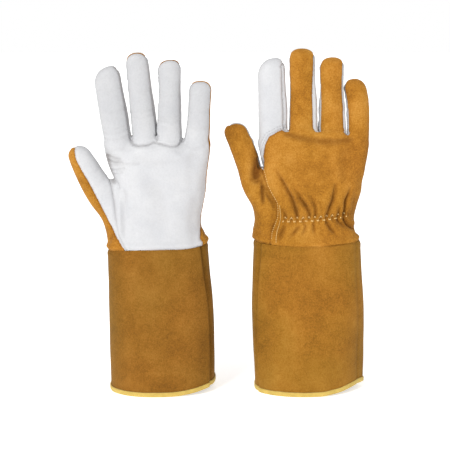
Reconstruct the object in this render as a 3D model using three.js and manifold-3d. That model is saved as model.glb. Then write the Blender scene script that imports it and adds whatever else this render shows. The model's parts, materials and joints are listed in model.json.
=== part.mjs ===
// A pair of leather welding gauntlets standing on their cuffs.
// Millimetres, +Z up. X runs across both hands, Y through their thickness. Both thumbs point to -X:
// the left glove shows its palm to -Y and the right glove shows its back to -Y.
// Each glove is a cuff (fixed), a hand that turns at the wrist, and five stalls that turn at the knuckles.
import * as THREE from 'three';
import { mergeVertices } from 'three/addons/utils/BufferGeometryUtils.js';
import Module from 'manifold-3d';

const wasm = await Module();
wasm.setup();

// ---------------------------------------------------------------- driving dimensions
const LEATHER = 1.4; // thickness of every leather panel
const GAP = 0.3; // clearance kept between neighbouring pieces
const CUFF_HEIGHT = 154; // floor to the seam between cuff and hand
const HAND_TOP = 258; // where the hand's shell stops, just under the finger crotches
const KNUCKLE_Z = 263; // height of the finger hinges
const STALL_START = 5; // a stall's shell starts this far above its own hinge
const ROOT_END = 5; // the thumb's root stops this far below the thumb's hinge
const HEM_RISE = 9; // the hem climbs this much towards the little finger
const BINDING_HEIGHT = 8; // yellow tape folded over the hem
const BINDING_THICKNESS = 1.1;
const WRIST_Z = 172; // height of the wrist crease, where the hand turns on the cuff
const ELASTIC_Z = 181; // middle of the elastic sewn inside the back
const ELASTIC_HEIGHT = 8;
const ELASTIC_THICKNESS = 0.9;
const THREAD_RADIUS = 0.4;
const ROUND = 28; // facets round the hand and the cuff
const STALL_FACETS = 16;
const TIP_STEPS = 4; // rings in a stall's rounded end
const SQUARENESS = 2.5; // superellipse exponent of the hand's and the cuff's sections
const SEAM_TURN = THREE.MathUtils.degToRad(21); // the cuff's two side seams sit this far round from its edges
const REACH = 200; // larger than any piece, for cutting blocks
const ABOVE = 400; // a height over the hand, where cutting outlines start
const BELOW = 120; // a height under the hand, where they end
const HINGE_INSET = 5; // a hinge lies this far inside the palm-side surface

const TAN = { color: 0xb8782a, roughness: 0.95, metalness: 0 };
const WHITE = { color: 0xe9e9ec, roughness: 0.6, metalness: 0 };
const YELLOW = { color: 0xe8c44f, roughness: 0.7, metalness: 0 };
const ELASTIC = { color: 0xdedcd2, roughness: 0.85, metalness: 0 };
const THREAD = { color: 0xf3e6bf, roughness: 0.8, metalness: 0 };

// A section is { z, left, right, depth }: the tube's two edges in x and its half thickness in y at height z.
const GLOVES = [
  {
    hand: 'left',
    at: -64.4,
    palm: -1, // the palm faces -Y
    cuff: [
      { z: 0, left: -51, right: 60.5, depth: 41 },
      { z: 80, left: -51.5, right: 57, depth: 38 },
      { z: CUFF_HEIGHT, left: -53, right: 52, depth: 30 },
    ],
    body: [
      { z: CUFF_HEIGHT, left: -51, right: 50, depth: 28 }, // narrower than the cuff's inside, so the wrist can bend
      { z: 166, left: -47, right: 47.5, depth: 26 },
      { z: 181, left: -46, right: 45, depth: 23.5 },
      { z: 212, left: -46, right: 50, depth: 22.5 },
      { z: 246, left: -53, right: 53.2, depth: 18.5 },
      { z: HAND_TOP, left: -57, right: 54.2, depth: 16 },
    ],
    thumb: { x: -60.8, z: 205, lean: -27, length: 58.5, width: 13.8, depth: 11.5, root: 50 },
    fingers: {
      index: { x: -43.5, lean: -8.5, length: 80, width: 13.9, depth: 11 },
      middle: { x: -14.3, lean: -6.7, length: 95.5, width: 12.3, depth: 11 },
      ring: { x: 12.4, lean: 0, length: 86, width: 11.9, depth: 10.5 },
      little: { x: 40.2, lean: 5.4, length: 64.5, width: 12.3, depth: 10 },
    },
    backSeam: -4, // how far the back panel's edge moves in x from the pattern
    palmSeam: [[-47.5, ABOVE], [-47.5, 213], [-43.7, 200], [-42, BELOW]],
    stripSeam: [[-77.7, ABOVE], [-77.7, 232], [-61.8, 200], [-49, 168], [-43.5, BELOW]],
  },
  {
    hand: 'right',
    at: 93.2,
    palm: 1, // the palm faces +Y
    cuff: [
      { z: 0, left: -55, right: 61.5, depth: 41 },
      { z: 80, left: -57.5, right: 60, depth: 38 },
      { z: CUFF_HEIGHT, left: -55.4, right: 56.4, depth: 30 },
    ],
    body: [
      { z: CUFF_HEIGHT, left: -53.4, right: 54.4, depth: 28 },
      { z: 166, left: -55, right: 52.5, depth: 26 },
      { z: 181, left: -52, right: 50, depth: 23.5 },
      { z: 212, left: -47, right: 58.6, depth: 22.5 },
      { z: 246, left: -50, right: 64, depth: 18.5 },
      { z: HAND_TOP, left: -50.8, right: 65.5, depth: 16 },
    ],
    thumb: { x: -55.5, z: 220, lean: -19.5, length: 65, width: 12.9, depth: 11.5, root: 62 },
    fingers: {
      index: { x: -36.5, lean: 0, length: 88, width: 14.1, depth: 11 },
      middle: { x: -4.6, lean: 0.5, length: 97.5, width: 12.9, depth: 11 },
      ring: { x: 26.4, lean: 0, length: 89.5, width: 12.2, depth: 10.5 },
      little: { x: 54.3, lean: -2, length: 66, width: 12, depth: 10 },
    },
    backSeam: 0,
    palmSeam: [[-43, ABOVE], [-43, 224], [-41, 205], [-37, BELOW]],
    stripSeam: [[-66, ABOVE], [-66, 240], [-56, 205], [-45, 170], [-40, BELOW]],
  },
];
// The back panel's free edge, from the crotch between index and middle finger, round the index knuckle
// and down past the thumb to the cuff.
const BACK_EDGE = [
  [-19, ABOVE], [-19, 272], [-31, 266], [-41, 254], [-44, 240], [-44, 224],
  [-41, 208], [-35, 194], [-31, 180], [-32, 165], [-35, BELOW],
];

// ---------------------------------------------------------------- solids
function toSolid(geometry) {
  const bare = new THREE.BufferGeometry();
  bare.setAttribute('position', geometry.getAttribute('position').clone());
  bare.setIndex(geometry.getIndex());
  const merged = mergeVertices(bare, 1e-4);
  return new wasm.Manifold(new wasm.Mesh({
    numProp: 3,
    vertProperties: merged.getAttribute('position').array,
    triVerts: new Uint32Array(merged.getIndex().array),
  }));
}

function toGeometry(solid) {
  const mesh = solid.getMesh();
  const geometry = new THREE.BufferGeometry();
  geometry.setAttribute('position', new THREE.BufferAttribute(mesh.vertProperties, 3));
  geometry.setIndex(new THREE.BufferAttribute(mesh.triVerts, 1));
  geometry.computeVertexNormals();
  return geometry;
}

// The largest body of a cut solid: a cut along a curved seam can leave slivers behind it.
function largest(solid) {
  return solid.decompose().reduce((a, b) => (b.volume() > a.volume() ? b : a));
}

function piece(name, solid, finish) {
  const mesh = new THREE.Mesh(toGeometry(largest(solid)), new THREE.MeshStandardMaterial(finish));
  mesh.name = name;
  return mesh;
}

function block(low, high) {
  const size = high.map((value, i) => value - low[i]);
  const box = new THREE.BoxGeometry(...size);
  box.translate(...high.map((value, i) => (value + low[i]) / 2));
  return toSolid(box);
}

// An outline in x and z, pushed through the thickness from y = 0 to y = reach.
function slab(outline, reach) {
  const shape = new THREE.Shape(outline.map(([x, z]) => new THREE.Vector2(x, z)));
  const geometry = new THREE.ExtrudeGeometry(shape, { depth: Math.abs(reach), bevelEnabled: false });
  geometry.rotateX(Math.PI / 2);
  if (reach > 0) geometry.translate(0, reach, 0);
  return toSolid(geometry);
}

// Everything to the right of an edge line that runs from top to bottom.
function rightOf(edge, shift, reach) {
  const line = edge.map(([x, z]) => [x + shift, z]);
  return slab([[REACH, BELOW], [REACH, ABOVE], ...line], reach);
}

function warp(geometry, place) {
  const points = geometry.getAttribute('position');
  const point = new THREE.Vector3();
  for (let i = 0; i < points.count; i += 1) {
    place(point.fromBufferAttribute(points, i));
    points.setXYZ(i, point.x, point.y, point.z);
  }
  return geometry;
}

function sectionAt(sections, z) {
  const last = sections.length - 1;
  let i = 0;
  while (i < last - 1 && z > sections[i + 1].z) i += 1;
  const [a, b] = [sections[i], sections[i + 1]];
  const t = THREE.MathUtils.clamp((z - a.z) / (b.z - a.z), 0, 1);
  const mix = (key) => THREE.MathUtils.lerp(a[key], b[key], t);
  return { centre: (mix('left') + mix('right')) / 2, half: (mix('right') - mix('left')) / 2, depth: mix('depth') };
}

// A solid sleeve through a list of sections, grown by offset, from z0 to z1.
function sleeve(sections, offset, z0, z1, rings) {
  const unit = new THREE.CylinderGeometry(1, 1, z1 - z0, ROUND, rings);
  unit.rotateX(Math.PI / 2);
  const power = 2 / SQUARENESS;
  return toSolid(warp(unit, (p) => {
    const z = p.z + (z0 + z1) / 2;
    const at = sectionAt(sections, z);
    const x = Math.sign(p.x) * Math.abs(p.x) ** power * (at.half + offset);
    const y = Math.sign(p.y) * Math.abs(p.y) ** power * (at.depth + offset);
    p.set(at.centre + x, y, z);
  }));
}

// The hem climbs towards the little finger, and the cuff above it follows, less and less.
function liftHem(solid, cuff) {
  return toSolid(warp(toGeometry(solid), (p) => {
    const at = sectionAt(cuff, p.z);
    const share = THREE.MathUtils.clamp((p.x - at.centre) / at.half, 0, 1);
    p.z += HEM_RISE * share ** 2 * THREE.MathUtils.clamp(1 - p.z / CUFF_HEIGHT, 0, 1);
  }));
}

// A finger or thumb: a round-ended tube from low to length, with half width and half depth, narrowing to its tip.
function stall({ width, depth, length }, offset, low) {
  const full = length + offset;
  const tip = width + offset;
  const profile = [new THREE.Vector2(0, low), new THREE.Vector2(1, low)];
  profile.push(new THREE.Vector2(1, (low + full - tip) / 2), new THREE.Vector2(1, full - tip));
  for (let i = 1; i <= TIP_STEPS; i += 1) {
    const turn = (i / TIP_STEPS) * (Math.PI / 2);
    profile.push(new THREE.Vector2(Math.cos(turn) ** 0.85, full - tip + tip * Math.sin(turn) ** 0.9));
  }
  profile[profile.length - 1].x = 0;
  const unit = new THREE.LatheGeometry(profile, STALL_FACETS);
  unit.rotateX(Math.PI / 2);
  unit.scale(1, -1, 1);
  return toSolid(flip(warp(unit, (p) => {
    const slim = 1 - 0.12 * THREE.MathUtils.clamp(p.z / length, 0, 1);
    p.x *= width * slim + offset;
    p.y *= depth * slim + offset;
  })));
}

function flip(geometry) {
  const index = geometry.getIndex().array;
  for (let i = 0; i < index.length; i += 3) [index[i + 1], index[i + 2]] = [index[i + 2], index[i + 1]];
  return geometry;
}

// ---------------------------------------------------------------- cuff
function makeCuff({ hand, palm, cuff }) {
  const group = new THREE.Group();
  const top = CUFF_HEIGHT - GAP;
  const leatherFoot = BINDING_THICKNESS + GAP;
  const wall = sleeve(cuff, 0, leatherFoot, top, 3)
    .subtract(sleeve(cuff, -LEATHER, leatherFoot - 1, top + 1, 3));
  // The two panels meet at seams turned round from the cuff's edges: towards the palm at the little
  // finger, and towards the back at the thumb.
  const half = (side) => {
    const near = side * GAP / 2;
    const box = new THREE.BoxGeometry(2 * REACH, REACH, 2 * REACH);
    box.translate(0, near + (side * REACH) / 2, 0);
    box.rotateZ(palm * SEAM_TURN);
    return toSolid(box);
  };
  for (const [label, side] of [['palm', palm], ['back', -palm]]) {
    group.add(piece(`${hand}_cuff_${label}_panel`, liftHem(wall.intersect(half(side)), cuff), TAN));
  }
  const reachOut = GAP + BINDING_THICKNESS;
  const tape = sleeve(cuff, reachOut, 0, BINDING_HEIGHT, 1)
    .subtract(sleeve(cuff, -LEATHER - reachOut, -1, BINDING_HEIGHT + 1, 1));
  const slot = sleeve(cuff, GAP, BINDING_THICKNESS, BINDING_HEIGHT + 1, 1)
    .subtract(sleeve(cuff, -LEATHER - GAP, 0, BINDING_HEIGHT + 2, 1));
  group.add(piece(`${hand}_hem_binding`, liftHem(tape.subtract(slot), cuff), YELLOW));
  return group;
}

// ---------------------------------------------------------------- hand
function thumbRoot({ x, z, lean, width, depth, root }, offset) {
  const cone = new THREE.CylinderGeometry(1, 1, root, STALL_FACETS, 2);
  cone.rotateX(Math.PI / 2);
  warp(cone, (p) => {
    const down = (root / 2 - p.z) / root;
    p.x *= width * (1 - 0.15 * down) + offset;
    p.y *= depth * (1 + 0.35 * down) + offset;
  });
  const top = (offset < 0 ? 1 : 0) - ROOT_END;
  cone.translate(0, 0, top - root / 2);
  cone.rotateY(THREE.MathUtils.degToRad(lean));
  cone.translate(x, 0, z);
  return toSolid(cone);
}

function handShell({ body, thumb }) {
  const low = CUFF_HEIGHT + GAP;
  const outer = sleeve(body, 0, low, HAND_TOP, 6).add(thumbRoot(thumb, 0));
  const inner = sleeve(body, -LEATHER, low - 1, HAND_TOP + 1, 6).add(thumbRoot(thumb, -LEATHER));
  const mouth = new THREE.BoxGeometry(2.6 * thumb.width, 80, 30);
  mouth.translate(0, 0, 15 - ROOT_END - GAP);
  mouth.rotateY(THREE.MathUtils.degToRad(thumb.lean));
  mouth.translate(thumb.x, 0, thumb.z);
  return outer.subtract(inner).subtract(toSolid(mouth))
    .subtract(block([-REACH, -REACH, -REACH], [REACH, REACH, low]));
}

function makeHand(glove) {
  const { hand, palm, body, thumb, backSeam, palmSeam, stripSeam } = glove;
  const group = new THREE.Group();
  const shell = handShell(glove);
  const backEdge = BACK_EDGE.map(([x, z]) => [x + backSeam, z]);
  const seamSide = palm * 2; // the side seam lies a little to the palm side
  const past = palm * REACH;
  const everything = block([-REACH, -REACH, 0], [REACH, REACH, ABOVE]);
  const palmHalf = block(
    [-REACH, Math.min(seamSide, past), 0],
    [REACH, Math.max(seamSide, past), ABOVE],
  );
  const backHalf = everything.subtract(block(
    [-REACH, Math.min(seamSide - palm * GAP, past), 0],
    [REACH, Math.max(seamSide - palm * GAP, past), ABOVE],
  ));
  const both = (edge, shift) => rightOf(edge, shift, REACH).add(rightOf(edge, shift, -REACH));
  const aboveThumb = block([-REACH, -REACH, thumb.z + 10], [0, REACH, ABOVE]);
  const belowThumb = block([-REACH, -REACH, 0], [0, REACH, thumb.z + 10 - GAP]);

  const back = shell.intersect(backHalf).intersect(both(backEdge, GAP / 2));
  const outside = shell.subtract(shell.intersect(everything.subtract(palmHalf)).intersect(both(backEdge, -GAP / 2)));
  const palmBlock = palmHalf.intersect(both(palmSeam, GAP / 2)).add(aboveThumb);
  const palmPiece = outside.intersect(palmBlock);
  const rootFront = shell.intersect(palmHalf).intersect(belowThumb)
    .intersect(both(stripSeam, GAP / 2)).subtract(both(palmSeam, -GAP / 2));
  const strip = everything.subtract(palmHalf).subtract(both(backEdge, -GAP / 2))
    .add(palmHalf.subtract(both(stripSeam, -GAP / 2)))
    .intersect(belowThumb);
  group.add(piece(`${hand}_palm_panel`, palmPiece, WHITE));
  group.add(piece(`${hand}_back_panel`, back, TAN));
  group.add(piece(`${hand}_thumb_root_front`, rootFront, WHITE));
  group.add(piece(`${hand}_thumb_root_back`, shell.intersect(strip), TAN));
  group.add(...makeElastic(hand, palm, body));
  return group;
}

// The elastic inside the back, and the zigzag thread outside that holds it.
function makeElastic(hand, palm, body) {
  const [from, to] = hand === 'left' ? [-24, 36] : [-24, 42];
  const outer = -LEATHER - GAP;
  const low = ELASTIC_Z - ELASTIC_HEIGHT / 2;
  const high = ELASTIC_Z + ELASTIC_HEIGHT / 2;
  const ring = sleeve(body, outer, low, high, 1)
    .subtract(sleeve(body, outer - ELASTIC_THICKNESS, low - 1, high + 1, 1));
  const span = block([from, Math.min(0, -palm * REACH), low], [to, Math.max(0, -palm * REACH), high]);
  const zigzags = 11;
  const points = [];
  for (let i = 0; i <= zigzags; i += 1) {
    const x = THREE.MathUtils.lerp(from + 2, to - 2, i / zigzags);
    const z = ELASTIC_Z + (i % 2 ? 3 : -3);
    const at = sectionAt(body, z);
    const across = Math.abs((x - at.centre) / at.half) ** SQUARENESS;
    const y = at.depth * (1 - across) ** (1 / SQUARENESS) + THREAD_RADIUS + 3 * GAP;
    points.push(new THREE.Vector3(x, -palm * y, z));
  }
  const circle = new THREE.Shape().absarc(0, 0, THREAD_RADIUS, 0, 2 * Math.PI);
  const thread = new THREE.ExtrudeGeometry(circle, {
    curveSegments: 3, steps: zigzags * 2, extrudePath: new THREE.CatmullRomCurve3(points, false, 'catmullrom', 0.2),
  });
  return [
    piece(`${hand}_wrist_elastic`, ring.intersect(span), ELASTIC),
    piece(`${hand}_shirring_thread`, toSolid(thread), THREAD),
  ];
}

// ---------------------------------------------------------------- fingers
// A stall's side wall is its own strip of leather, the fourchette, between the front and the back.
function makeStall(hand, name, size, palm, walls, wrapped) {
  const group = new THREE.Group();
  const shell = stall(size, 0, STALL_START).subtract(stall(size, -LEATHER, STALL_START - 1));
  // The stall's axis lies behind its hinge, which is near the palm-side surface.
  const centreY = -palm * (size.depth - HINGE_INSET);
  const wallHalf = 0.42 * size.depth;
  const wallTop = size.length - 0.8 * size.width;
  const wallBlock = (side, grow) => block(
    [side < 0 ? -REACH : 0, -wallHalf - grow, -REACH],
    [side < 0 ? 0 : REACH, wallHalf + grow, wallTop + grow],
  );
  let rest = shell;
  for (const [label, side] of walls) {
    const wall = shell.intersect(wallBlock(side, 0));
    group.add(piece(`${hand}_${name}_wall_${label}`, wall, WHITE));
    rest = rest.subtract(wallBlock(side, GAP));
  }
  if (wrapped) {
    group.add(piece(`${hand}_${name}_wrap`, rest, WHITE));
  } else {
    const seam = palm * 2; // the back's leather comes a little round to the palm side
    const far = palm * REACH;
    const front = block([-REACH, Math.min(seam, far), -REACH], [REACH, Math.max(seam, far), REACH]);
    const backFrom = seam - palm * GAP;
    const back = block([-REACH, Math.min(backFrom, -far), -REACH], [REACH, Math.max(backFrom, -far), REACH]);
    group.add(piece(`${hand}_${name}_front`, rest.intersect(front), WHITE));
    group.add(piece(`${hand}_${name}_back`, rest.intersect(back), TAN));
  }
  for (const mesh of group.children) mesh.position.y = centreY;
  return group;
}

const STALLS = {
  index: { walls: [['inner', 1]], wrapped: true },
  middle: { walls: [['outer', -1], ['inner', 1]] },
  ring: { walls: [['outer', -1], ['inner', 1]] },
  little: { walls: [['outer', -1]] },
  thumb: { walls: [] },
};

// A group at a hinge, leaning with its stall: the hinge's axis is the group's own x axis.
function hingeGroup(name, x, y, z, lean) {
  const group = new THREE.Group();
  group.name = name;
  group.position.set(x, y, z);
  group.rotation.y = THREE.MathUtils.degToRad(lean);
  return group;
}

function makeGlove(glove) {
  const { hand, palm, body, thumb, fingers } = glove;
  const group = new THREE.Group();
  group.position.x = glove.at;
  const wrist = sectionAt(body, WRIST_Z);
  group.add(makeCuff(glove), makeHand(glove), hingeGroup(`${hand}_wrist`, wrist.centre, 0, WRIST_Z, 0));
  for (const [name, size] of Object.entries({ ...fingers, thumb })) {
    const z = name === 'thumb' ? thumb.z : KNUCKLE_Z;
    const hinge = hingeGroup(`${hand}_${name}_knuckle`, size.x, palm * (size.depth - HINGE_INSET), z, size.lean);
    hinge.add(...makeStall(hand, name, size, palm, STALLS[name].walls, STALLS[name].wrapped).children);
    group.add(hinge);
  }
  return group;
}

const pair = new THREE.Group();
pair.add(...GLOVES.map(makeGlove));
// The origin is on the floor, under the middle of the pair.
const box = new THREE.Box3().setFromObject(pair, true);
const middle = box.getCenter(new THREE.Vector3());
for (const glove of pair.children) glove.position.sub(new THREE.Vector3(middle.x, middle.y, box.min.z));

export default pair;
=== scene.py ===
"""A pair of leather welding gauntlets standing on their cuffs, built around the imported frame.

Each glove is worked out in its own space, in millimetres: x across the hand from the wrist's hinge, q through
it (positive to the back of the hand, negative to the palm) and z up from the hem. The hand, the fingers and
the thumb are one implicit surface, which is meshed, cut along its seams into panels of leather and creased.
"""
import json
import math
import bpy
import numpy as np
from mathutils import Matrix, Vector, noise
from mathutils.bvhtree import BVHTree
from mathutils.kdtree import KDTree


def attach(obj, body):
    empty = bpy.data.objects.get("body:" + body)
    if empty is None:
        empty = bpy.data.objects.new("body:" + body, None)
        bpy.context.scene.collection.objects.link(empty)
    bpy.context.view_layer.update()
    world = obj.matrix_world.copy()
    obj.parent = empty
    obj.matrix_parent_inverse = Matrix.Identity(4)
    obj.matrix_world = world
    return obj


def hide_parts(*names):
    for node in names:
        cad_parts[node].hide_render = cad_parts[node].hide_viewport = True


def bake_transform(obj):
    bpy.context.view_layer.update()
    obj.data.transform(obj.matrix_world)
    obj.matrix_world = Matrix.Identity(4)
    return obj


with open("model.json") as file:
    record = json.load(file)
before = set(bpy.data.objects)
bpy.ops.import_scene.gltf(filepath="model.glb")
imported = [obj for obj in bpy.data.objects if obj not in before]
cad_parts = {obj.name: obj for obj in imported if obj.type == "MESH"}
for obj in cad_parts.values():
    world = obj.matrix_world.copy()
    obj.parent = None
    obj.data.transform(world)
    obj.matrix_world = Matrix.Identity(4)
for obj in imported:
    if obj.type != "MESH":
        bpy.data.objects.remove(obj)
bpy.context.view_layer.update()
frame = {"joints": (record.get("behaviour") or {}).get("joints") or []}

MM = 0.001
FINE = 1.25
GRID = FINE  # spacing of the grid that the leather is meshed on
LEATHER = 1.3  # thickness of the leather
CUFF_TOP = 154.0  # the seam between cuff and hand
SEAM_TURN = math.tan(math.radians(22.5))  # the cuff's side seams lie on the line q = -x * SEAM_TURN
WEB_SLOPE = 0.5  # the crotches between the fingers are higher on the back than on the palm
WEB_TOP = 270.5  # height of the crotches where they cross q = 0
WEB_DEPTH = 14.0  # they slope up to this distance to both sides of q = 0
STALL_START = WEB_TOP + 1.5  # the fingers' own leather starts here
FINGER_ROOT = 34.0  # a finger's tube tapers off over this length below its hinge, inside the hand
KNUCKLE_BEND = 24.0  # length over which a finger's leather would turn from the hand to the finger; nothing is bent by it
ELASTIC_Z = 183.0  # the elastic at its thumb end
ELASTIC_RISE = 4.6  # the elastic climbs this much towards the little finger
THUMB_CROTCH = 8.5  # the thumb's leather is joined to the hand's up to this distance above its start
THUMB_GAP = 1.1  # half the gap between the thumb and the hand above that
FINGER_GAP = 1.0  # half the gap between two fingers that lie against each other
WEB_RISE = 5.0  # a crotch between two fingers is at most this much higher than the others
LIFT = 3.0  # the cuff is this much taller than drawn here, and the hand stands higher by as much

JOINTS = {j["name"]: j for j in frame["joints"]}


def joint_mm(name):
    return [c / MM for c in JOINTS[name]["pos_m"]]


# ---------------------------------------------------------------- the gloves' shapes, in millimetres
# The cuff's and the hand's half depth, at these heights.
CUFF_LEVELS = [0, 40, 80, 120, CUFF_TOP]
CUFF_DEPTH = [41, 40, 38, 34.2, 30]
BODY_LEVELS = [140, CUFF_TOP, 162, 171, 181, 195, 212, 228, 246, 262, 285]
BODY_DEPTH = [31, 29.6, 27, 25, 23, 23, 22.3, 20.6, 18, 15.5, 14]
# Places along a finger or the thumb (a stall), from inside the hand to the tip, as shares of its length.
STATIONS = [-0.35, 0.0, 0.3, 0.6, 0.85, 1.0]
# palm: the world's y is -palm * q, so -1 shows the palm to the viewer and 1 the back.
# cuff and body: the left and the right edge at the levels above.
# stalls: half width, half depth and sideways shift at the stations, the length of the rounded tip and its
#   slant, how far the stall curls towards the palm, and how far its left and right side swell near its base.
# thumb_start, thumb_fillet: the place on the thumb where its own leather starts, and the fillet to the hand.
# back_edge_shift: how far BACK_EDGE and what follows it are moved along x.
# palm_seam, strip_edge: the seam beside the palm, and the edge of the thumb's tan leather, as (x, z).
# seam_rise: (x, how much the seam between cuff and hand rises there). elastic: its two ends along x.
# hem: (share of the way to the little finger's side, how much the hem climbs there).
# corner: 1 if the cuff is folded to a corner at the little finger's side, 0 if it is round.
# webs: (x, drop) of a crotch between two fingers that is lower than the others, or higher if it is negative.
GLOVES = {
    "left": {
        "palm": -1,
        "cuff_left": [-52.4, -52.2, -52.2, -52.8, -53.4],
        "cuff_right": [60.5, 60.2, 58.8, 56, 53],
        "body_left": [-53, -53.4, -51, -48.2, -46, -44.8, -42.6, -44.8, -48.8, -52.4, -54],
        "body_right": [54.4, 53.8, 50.6, 46.8, 46, 48, 50.8, 52, 53.2, 53.8, 53.4],
        "stalls": {
            "index": {"length": 78.5, "tip": (15, 3.2), "curl": 4, "bulge": (0, 1.0),
                      "width": [13.5, 14.0, 14.0, 14.2, 13.6, 12.8],
                      "depth": [13, 11.2, 10.8, 10.6, 10, 9.5],
                      "shift": [2, 2, 2.1, 2.2, 2.4, 2.6]},
            "middle": {"length": 93, "tip": (10.5, -0.4), "curl": 7, "bulge": (1.0, 1.4),
                       "width": [12.6, 12.4, 12.1, 11.8, 11.4, 10.9],
                       "depth": [13, 11.4, 10.9, 10.4, 9.8, 9.4],
                       "shift": [2.2, 2.5, 3.2, 3.5, 4.0, 4.6]},
            "ring": {"length": 85.5, "tip": (10.5, 1.0), "curl": 7, "bulge": (2.0, 1.4),
                     "width": [12.5, 12.2, 11.2, 10.8, 11.7, 11.5],
                     "depth": [13, 11, 10.6, 10.2, 9.6, 9.2],
                     "shift": [0.4, 0.4, 0.8, 1.3, 1.6, 1.6]},
            "little": {"length": 64, "tip": (9.5, 0.5), "curl": 5, "bulge": (0.8, 0),
                       "width": [13, 12.6, 11.6, 11.2, 11.2, 10.9],
                       "depth": [12, 10.4, 9.9, 9.6, 9.1, 8.8],
                       "shift": [1.2, 1.6, 2.0, 1.2, 0.5, 0.1]},
            "thumb": {"length": 59, "tip": (11.5, -1.0), "curl": 0, "bulge": (0, 0),
                      "width": [11.4, 14.6, 14.0, 13, 11.4, 10.6],
                      "depth": [18, 13.5, 11.8, 11.2, 10.6, 10],
                      "shift": [3.2, 2.2, 0.5, 0.6, 0.8, 1.0]},
        },
        "thumb_start": 4.5,
        "thumb_fillet": 10.5,
        "back_edge_shift": -5.2,
        "palm_seam": [(-47, 216), (-45.6, 208), (-43.6, 196), (-42, 182), (-40, 172), (-36.5, 163),
                      (-31.5, 154), (-25, 140)],
        "strip_edge": [(-84, 268), (-86.4, 256), (-84.4, 245.7), (-78, 233), (-70.3, 220), (-64, 207.4),
                       (-57.3, 194.6), (-50.3, 181.8), (-46.2, 175.4), (-43.1, 169), (-39, 162.6),
                       (-34.4, 156), (-30, 148), (-27, 140)],
        "seam_rise": [(-53, -5.0), (-40, -3.2), (0, -1.2), (40, 0.3), (52, 2.6)],
        "elastic": (-25, 34),
        "hem": [(0, 0), (0.25, 0.5), (0.5, 1.9), (0.75, 4.2), (1, 7.5)],
        "corner": 0.0,
        "webs": [(26.6, 5.0), (-28.2, 3.0)],
    },
    "right": {
        "palm": 1,
        "cuff_left": [-52.4, -53.6, -55.2, -55.2, -54],
        "cuff_right": [65.0, 65.2, 64.2, 61.8, 59.2],
        "body_left": [-54.3, -53.6, -55.2, -54.2, -51.2, -46, -42, -43.4, -46.4, -48, -49],
        "body_right": [59.2, 58, 54.4, 52.8, 52.4, 54.6, 59, 59, 58.6, 60.6, 63],
        "stalls": {
            "index": {"length": 87.4, "tip": (16.5, 2.6), "curl": 3, "bulge": (0, 1.6),
                      "width": [14, 14.3, 14.2, 14.2, 13.8, 13.2],
                      "depth": [13, 11.2, 10.8, 10.6, 10, 9.5],
                      "shift": [0, 0.2, 0, -0.6, -0.8, -0.5]},
            "middle": {"length": 97, "tip": (11.0, 0), "curl": 5, "bulge": (0.8, 3.4),
                       "width": [13.2, 13.2, 12.7, 12.5, 13.2, 13.2],
                       "depth": [13, 11.4, 10.9, 10.4, 9.8, 9.4],
                       "shift": [-0.4, -0.4, -0.5, -1.0, -1.4, -1.6]},
            "ring": {"length": 88, "tip": (11.5, 0.4), "curl": 5, "bulge": (3.4, 2.4),
                     "width": [13, 12.4, 11.4, 11.3, 12.6, 12.6],
                     "depth": [13, 11, 10.6, 10.2, 9.8, 9.4],
                     "shift": [0.4, 0.3, 0, -0.4, -0.6, -0.4]},
            "little": {"length": 65.5, "tip": (11.5, 0.6), "curl": 6, "bulge": (2.0, 0),
                       "width": [11, 10.8, 11.0, 11.4, 11.4, 10.9],
                       "depth": [12, 10.4, 9.9, 9.6, 9.1, 8.8],
                       "shift": [-3.0, 0, 1.0, 0.4, -1.8, -3.8]},
            "thumb": {"length": 66.5, "tip": (11.5, -0.6), "curl": 0, "bulge": (0, 0),
                      "width": [12.2, 14.0, 13.4, 12.8, 12.4, 11.6],
                      "depth": [17, 12.8, 11.6, 11.4, 10.8, 10.2],
                      "shift": [2.5, 0.8, 2.1, 1.2, -0.2, -1.0]},
        },
        "thumb_start": 5.0,
        "thumb_fillet": 7.0,
        "back_edge_shift": 0.0,
        "palm_seam": [(-43, 226), (-42.6, 216), (-40.6, 200), (-38.6, 184), (-38, 165), (-38.4, 140)],
        "strip_edge": [(-80, 286), (-80.5, 272), (-76, 258), (-70, 246), (-63.5, 232), (-59, 218),
                       (-54, 204), (-48, 192), (-45, 178), (-44, 160), (-43, 140)],
        "seam_rise": [(-54, 5.2), (-30, 3.0), (0, 2.1), (30, 3.0), (57, 5.4)],
        "elastic": (-24.5, 43.0),
        "hem": [(0, 0), (0.2, 0.5), (0.41, 2.0), (0.58, 3.5), (0.7, 5.2), (0.86, 6.8), (1, 6.2)],
        "corner": 1.0,
        "webs": [(-17.5, -4.2)],
    },
}
FINGERS = ("index", "middle", "ring", "little")
STALLS = (*FINGERS, "thumb")
# The back panel's free edge on the back of the hand, from the crotch beside the middle finger, round the
# index knuckle and down past the thumb to the cuff, as (x, z).
BACK_EDGE = [(-17.5, 300), (-17.5, 280.5), (-20.1, 277.6), (-29.2, 275), (-39, 269.6), (-43.6, 260),
             (-45.4, 247), (-45.2, 235), (-43, 225.8), (-40.9, 218.3), (-37.3, 211.1), (-31, 200.4),
             (-30.5, 192.1), (-30.8, 185.5), (-33.3, 178.3), (-36.6, 168.5), (-37.3, 160.2), (-37.5, 140)]
# The second row of stitches beside that edge.
SECOND_ROW = [(-27.8, 198.3), (-27, 191.4), (-26.5, 184.8), (-27.8, 178.3), (-30.3, 170.1), (-31.4, 162.6),
              (-31.4, 156)]


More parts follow.
